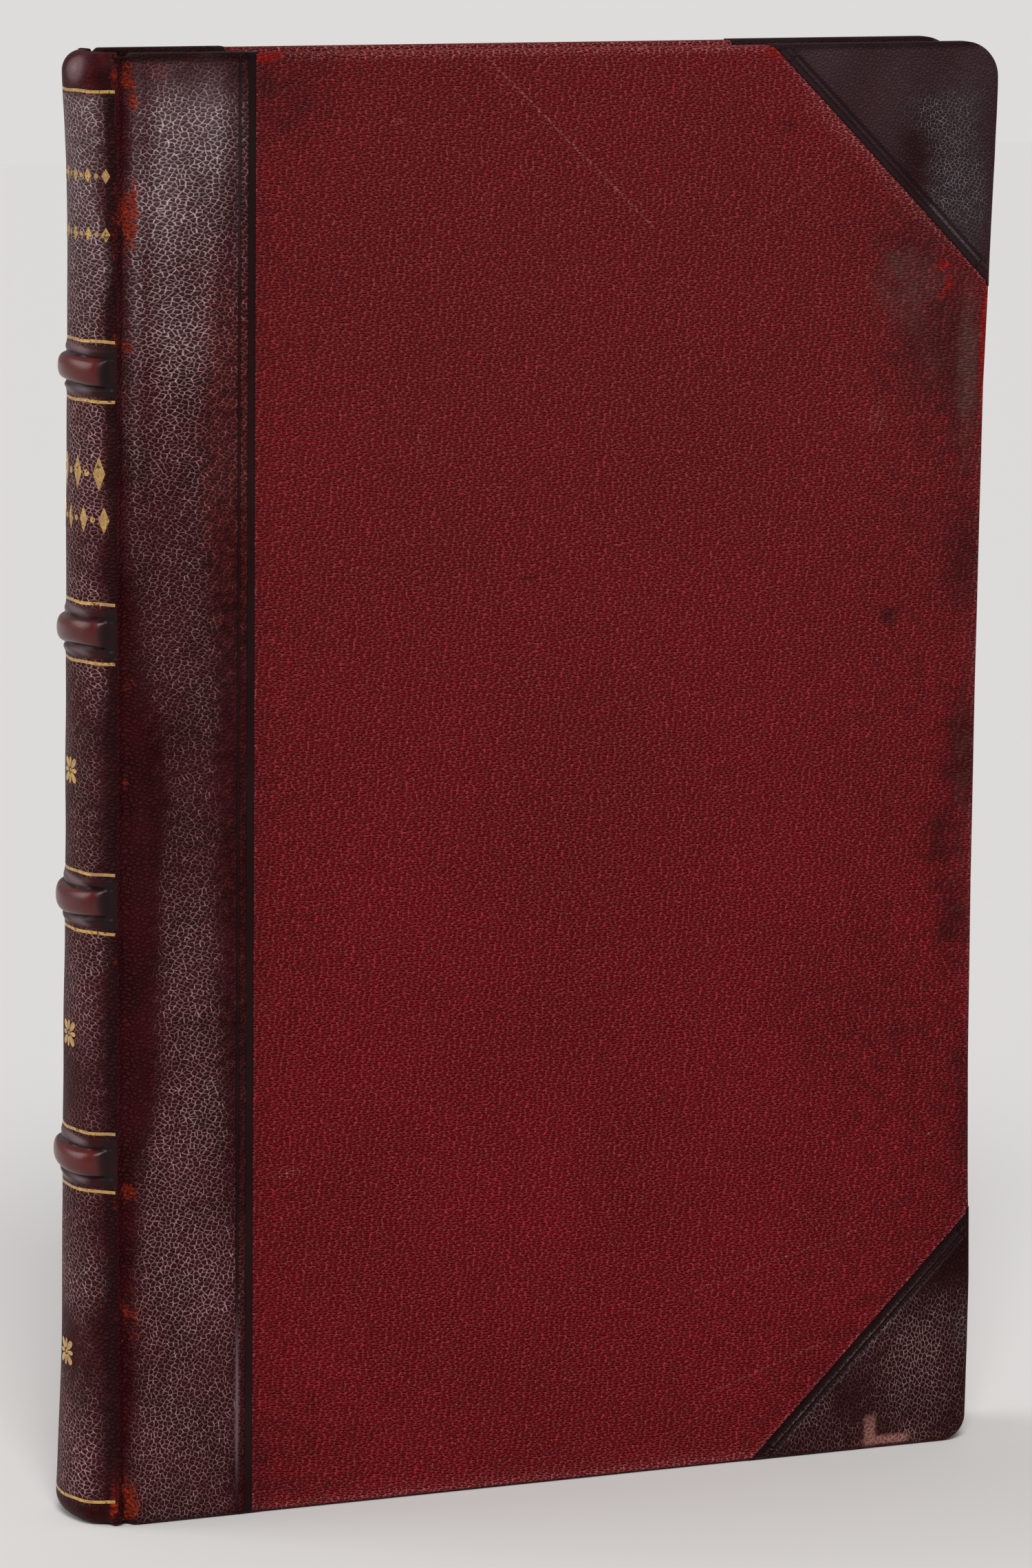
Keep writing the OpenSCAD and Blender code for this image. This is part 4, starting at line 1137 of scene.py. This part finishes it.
def leather_material():
    g = Graph("morocco_leather")
    sheet = g.layer("sheet", "Vector")
    medium = g.noise(sheet, 0.55, 3.0)
    fine = g.noise(sheet, 2.6, 4.0, 0.65)
    bent = warped(g, warped(g, g.rotated(g.layer("grain", "Vector"), 0.45), 0.9, 0.4), 0.07, 2.0)
    edge = g.voronoi(bent, PEBBLE_RANDOM)
    small = g.voronoi(g.scaled(bent, (2.1, 2.1, 1.0), (3.1, 7.7, 0)), 1.0)
    grey, shine = g.layer("grey"), g.layer("shine")
    grained = g.sub(1.0, g.layer("flat"), clamp=True)

    colour = leather_ground(g, sheet, medium, fine)
    patchy = g.ease(g.frayed(g.layer("net"), medium, 0.6), 0.1, 0.9)
    dusty = g.mul(g.mul(rubbed_lines_and_painted_light(g, sheet, bent, edge, small), patchy), grained)
    dusty = g.mul(dusty, g.ease(fine, 0.3, 0.62, 0.5, 1.1))
    # Painted shade: the crowns of the pebbles lighter than the creases between them, where the lines are weak
    painted_lit_crowns = g.mul(g.mul(g.ease(edge, 0.06, 0.36), g.sub(1.0, patchy)), grained)
    colour = g.mix(g.mul(painted_lit_crowns, 0.26), colour, g.mix(grey, srgb(90, 34, 36), srgb(84, 68, 72)))
    rubbed = g.mix(g.ease(g.layer("film_and_sheen"), 0.1, 0.6), srgb(198, 150, 150), srgb(206, 186, 188))
    colour = g.mix(g.mul(dusty, 0.92), colour, g.mix(grey, rubbed, srgb(150, 141, 146)))
    # Pressed lines are darkened by the hot tool
    colour = g.mix(g.mul(g.layer("press"), 0.85), colour, srgb(24, 10, 11))
    raw, skin = raw_skin(g, sheet)
    colour = g.mix(g.mul(raw, 0.85), colour, skin)
    # Dirt and dye have gathered in hollows, and painted shade lies in the creases at the foot of the bands,
    # at their ends and on edges that turn away
    colour = g.mix(g.mul(g.layer("dark"), 0.75), colour, DIRT_AND_SHADE)

    height = g.add(g.mul(g.ease(edge, 0.0, 0.42), 0.85), g.mul(g.ease(small, 0.0, 0.3), 0.15))
    normal = g.bump(g.mul(height, grained), 1.0, 0.0003)
    normal = g.bump(g.add(fine, g.mul(raw, -1.2)), 0.3, 0.00012, normal)
    rough = g.sub(g.add(0.52, g.mul(dusty, 0.3)), g.mul(shine, 0.26))
    g.put(g.shader.inputs["Specular IOR Level"], g.add(0.015, g.mul(g.mul(shine, shine), 0.4)))
    return g.surface(colour, g.add(rough, g.mul(raw, 0.35), clamp=True), normal)


def cloth_material():
    g = Graph("grained_book_cloth")
    sheet = g.layer("sheet", "Vector")
    bright, faded = g.layer("bright"), g.layer("faded")
    coarse = g.noise(sheet, 0.03, 3.0)
    medium = g.noise(sheet, 0.35, 3.0)
    fine = g.noise(sheet, 2.2, 4.0, 0.65)
    cells = g.scaled(g.rotated(warped(g, sheet, 0.5, 0.5), 0.12), (0.95, 2.7, 1.0))
    edge = g.voronoi(cells, 0.85)
    pebble = g.sub(1.0, g.ease(g.voronoi(cells, 0.85, "F1"), 0.0, 0.75))

    base = g.mix(g.ease(coarse, 0.3, 0.7), srgb(103, 4, 15), srgb(114, 5, 17))
    base = g.mix(g.ease(medium, 0.3, 0.75, 0.0, 0.4), base, srgb(90, 8, 13))
    base = g.mix(faded, base, srgb(100, 26, 28))
    # Light lines between the pebbles, of dust in the grain and painted highlight on the pebbles, and
    # scratches
    specks_and_painted_highlights = g.mul(g.sub(1.0, g.ease(edge, 0.0, 0.2)), g.ease(fine, 0.36, 0.62))
    worn = g.ease(g.frayed(g.layer("rub"), medium, 0.5), 0.1, 0.9)
    broken = g.mul(scratches(g, sheet), g.ease(fine, 0.44, 0.6, 0.0, 0.5))
    light = g.add(g.mul(specks_and_painted_highlights, g.add(0.28, g.mul(worn, 0.6))), broken, clamp=True)
    colour = g.mix(light, base, srgb(192, 122, 122))
    colour = g.mix(g.mul(worn, 0.1), colour, srgb(140, 70, 66))
    # Stains, and painted shade towards the cover's edges; dust; and places where the dye is fresh
    stained_and_shaded = g.ease(g.frayed(g.layer("stain_and_shade"), medium, 0.8), 0.15, 0.95)
    colour = g.mix(g.mul(stained_and_shaded, 0.7), colour, g.mix(faded, srgb(46, 14, 15), srgb(54, 30, 29)))
    dusty = g.ease(g.frayed(g.layer("dust"), g.noise(sheet, 0.28, 4.0, 0.6), 1.2), 0.15, 0.95)
    colour = g.mix(g.mul(dusty, 0.55), colour, srgb(98, 66, 62))
    torn = g.noise(sheet, 1.1, 5.0, 0.7)
    fresh = g.mul(g.ease(g.frayed(bright, torn, 1.4), 0.42, 0.85), g.ease(bright, 0.02, 0.25))
    colour = g.mix(g.mul(fresh, 0.8), colour, srgb(140, 26, 22))

    normal = g.bump(fine, 0.3, 0.0001, g.bump(pebble, 1.0, 0.00046))
    g.shader.inputs["Specular IOR Level"].default_value = 0.04
    return g.surface(colour, g.add(0.6, g.mul(worn, 0.15)), normal)


def gold_material(name, worn):
    """Gold leaf, rubbed through to the leather where its noise is high."""
    g = Graph(name)
    sheet = g.layer("sheet", "Vector")
    fine = g.noise(sheet, 1.7, 5.0, 0.75)
    tint = g.noise(sheet, 0.5, 2.0)
    gone = g.sub(1.0, g.ease(g.frayed(fine, tint, 0.5), worn - 0.06, worn + 0.03))
    gold = g.mix(g.ease(tint, 0.42, 0.62), srgb(206, 166, 92), srgb(178, 138, 100))
    g.put(g.shader.inputs["Metallic"], g.sub(0.75, g.mul(gone, 0.75)))
    rough = g.add(0.36, g.mul(gone, 0.25))
    return g.surface(g.mix(gone, gold, srgb(60, 26, 22)), rough, g.bump(fine, 0.35, 0.00012))


def page_material():
    """Edges of the leaves, drawn as fine lines through the thickness of the book."""
    g = Graph("page_edges")
    place = g.node("ShaderNodeTexCoord").outputs["Object"]
    leaves = g.noise(g.scaled(place, (30, 7200, 30)), 1.0, 3.0, 0.6)
    sections = g.noise(g.scaled(place, (18, 1500, 18)), 1.0, 2.0)
    toned = g.noise(place, 60.0, 4.0)
    base = g.mix(g.ease(toned, 0.3, 0.7), srgb(196, 176, 140), srgb(176, 152, 116))
    colour = g.mix(g.ease(leaves, 0.35, 0.62), g.mix(0.5, base, srgb(120, 96, 68)), base)
    colour = g.mix(g.mul(g.ease(sections, 0.55, 0.75), 0.3), colour, srgb(110, 86, 60))
    return g.surface(colour, 0.85, g.bump(leaves, 0.5, 0.0001))


def endpaper_material():
    """Toned paper with a few brown spots."""
    g = Graph("endpaper")
    light, dark = srgb(206, 190, 156), srgb(190, 170, 132)
    place = g.node("ShaderNodeTexCoord").outputs["Object"]
    cloud = g.noise(place, 25.0, 4.0)
    fibre = g.noise(place, 1400.0, 3.0)
    spot = g.sub(1.0, g.ease(g.voronoi(place, 1.0, "F1", 60.0, "3D"), 0.02, 0.12))
    colour = g.mix(g.ease(cloud, 0.35, 0.7), light, dark)
    colour = g.mix(g.mul(spot, 0.35), colour, srgb(150, 110, 66))
    colour = g.mix(g.mul(fibre, 0.12), colour, dark)
    return g.surface(colour, 0.88, g.bump(fibre, 0.25, 0.00005))


def plain_material(name, light, dark, scale=300.0):
    g = Graph(name)
    grain = g.noise(g.node("ShaderNodeTexCoord").outputs["Object"], scale, 4.0, 0.6)
    return g.surface(g.mix(g.ease(grain, 0.3, 0.7), light, dark), 0.85, g.bump(grain, 0.4, 0.0001))


materials = {
    "leather": leather_material(),
    "book_cloth": cloth_material(),
    "page_edges": page_material(),
    "endpaper": endpaper_material(),
    "hemp_cord": plain_material("hemp_cord", srgb(180, 158, 118), srgb(150, 126, 88), 900.0),
    "gauze": plain_material("gauze", srgb(196, 186, 160), srgb(176, 164, 134), 1200.0),
    "kraft_paper": plain_material("kraft_paper", srgb(150, 116, 78), srgb(130, 98, 64)),
    "card": plain_material("card", srgb(128, 108, 84), srgb(108, 88, 66)),
    "millboard": plain_material("millboard", srgb(122, 110, 92), srgb(96, 84, 68)),
    "silk": plain_material("silk", srgb(140, 40, 34), srgb(196, 176, 140), 1500.0),
}

# What the nodes that stay as they were built are made of
KEPT_NODES = {
    "page_edges": ["text_block"],
    "endpaper": ["front_flyleaf", "back_flyleaf", "front_pastedown", "back_pastedown"],
    "hemp_cord": [f"sewing_cord_{i}" for i in range(1, 5)],
    "gauze": ["spine_mull"],
    "kraft_paper": ["hollow_tube"],
    "card": ["spine_inlay"] + [f"raised_band_{i}" for i in range(1, 5)],
    "silk": ["head_band", "tail_band"],
}


def dress_kept_nodes():
    for material, nodes in KEPT_NODES.items():
        for node in nodes:
            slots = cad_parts[node].data.materials
            for i in range(len(slots)):
                slots[i] = materials[material]


# The scene

def make_camera():
    """The photo's camera, from the fit of its perspective to the front cover."""
    azimuth, elevation, roll = math.radians(-23.3), math.radians(9.4), math.radians(0.54)
    distance = 1158.0
    focal_px, image_h = 9816.0, 2280.0
    target = np.array([70.2 + JOINT_X, -BOOK_T / 2, 124.3])
    level = math.cos(elevation)
    back = np.array([math.sin(azimuth) * level, -math.cos(azimuth) * level, math.sin(elevation)])
    right = np.cross(-back, [0, 0, 1])
    right = right / np.linalg.norm(right)
    up = np.cross(right, -back)
    turned_right = math.cos(roll) * right + math.sin(roll) * up
    turned_up = -math.sin(roll) * right + math.cos(roll) * up
    place = (target + back * distance) * MM
    data = bpy.data.cameras.new("camera")
    data.sensor_width = 36.0
    data.lens = focal_px / image_h * data.sensor_width
    data.clip_start = 0.05
    data.clip_end = 20.0
    camera = bpy.data.objects.new("camera", data)
    axes = np.stack([turned_right, turned_up, back, place], -1)
    camera.matrix_world = Matrix([*axes.tolist(), (0, 0, 0, 1)])
    bpy.context.scene.collection.objects.link(camera)
    bpy.context.scene.camera = camera


def sun(name, toward, strength, spread):
    """A soft lamp; toward points from the book to the lamp."""
    data = bpy.data.lights.new(name, "SUN")
    data.energy = strength
    data.angle = math.radians(spread)
    lamp = bpy.data.objects.new(name, data)
    lamp.location = Vector(toward).normalized() * 2
    lamp.rotation_euler = Vector(toward).to_track_quat("Z", "Y").to_euler()
    bpy.context.scene.collection.objects.link(lamp)


def make_world():
    """Soft light all round, which the camera sees as a pale backdrop."""
    world = bpy.data.worlds.new("studio")
    bpy.context.scene.world = world
    world.use_nodes = True
    nodes, links = world.node_tree.nodes, world.node_tree.links
    nodes.clear()
    out = nodes.new("ShaderNodeOutputWorld")
    soft = nodes.new("ShaderNodeBackground")
    soft.inputs[0].default_value = (1.0, 0.99, 0.98, 1.0)
    soft.inputs[1].default_value = 0.32
    pale = nodes.new("ShaderNodeBackground")
    pale.inputs[0].default_value = (*srgb(221, 220, 218), 1.0)
    pale.inputs[1].default_value = 1.0
    path = nodes.new("ShaderNodeLightPath")
    pick = nodes.new("ShaderNodeMixShader")
    links.new(path.outputs["Is Camera Ray"], pick.inputs[0])
    links.new(soft.outputs[0], pick.inputs[1])
    links.new(pale.outputs[0], pick.inputs[2])
    links.new(pick.outputs[0], out.inputs[0])


def make_floor():
    reach, below = 3.0, -0.0001
    corners = [(-reach, -reach, below), (reach, -reach, below), (reach, reach, below), (-reach, reach, below)]
    mesh = bpy.data.meshes.new("floor")
    mesh.from_pydata(corners, [], [(0, 1, 2, 3)])
    mesh.materials.append(Graph("pale_floor").surface(srgb(214, 212, 210), 0.9))
    floor = bpy.data.objects.new("floor", mesh)
    bpy.context.scene.collection.objects.link(floor)


make_camera()
sun("key", (-0.3, -0.8, 0.85), 2.6, 22)
sun("side", (-0.85, 0.4, 0.45), 1.3, 40)
make_world()
make_floor()

make_spine()
for cover, side in (("front", -1), ("back", 1)):
    front = side < 0
    make_board(cover, side)
    make_strip(cover, side, front)
    make_cloth(cover, side, front)
    make_corner(cover, "head", side, front)
    make_corner(cover, "tail", side, front)
fillets = [ribbon(f"line_{i}", z) for i, z in enumerate(GILT_LINES)]
add_gold("gilt_fillets", fillets, gold_material("gold_leaf", 0.42))
add_gold("gilt_rosette_stamps", rosette_parts(), gold_material("gold_stamps", 0.3))
add_gold("gilt_ornament_rows", ornament_parts(), gold_material("gold_ornaments", 0.44))
dress_kept_nodes()

bpy.context.scene.view_settings.view_transform = "Standard"
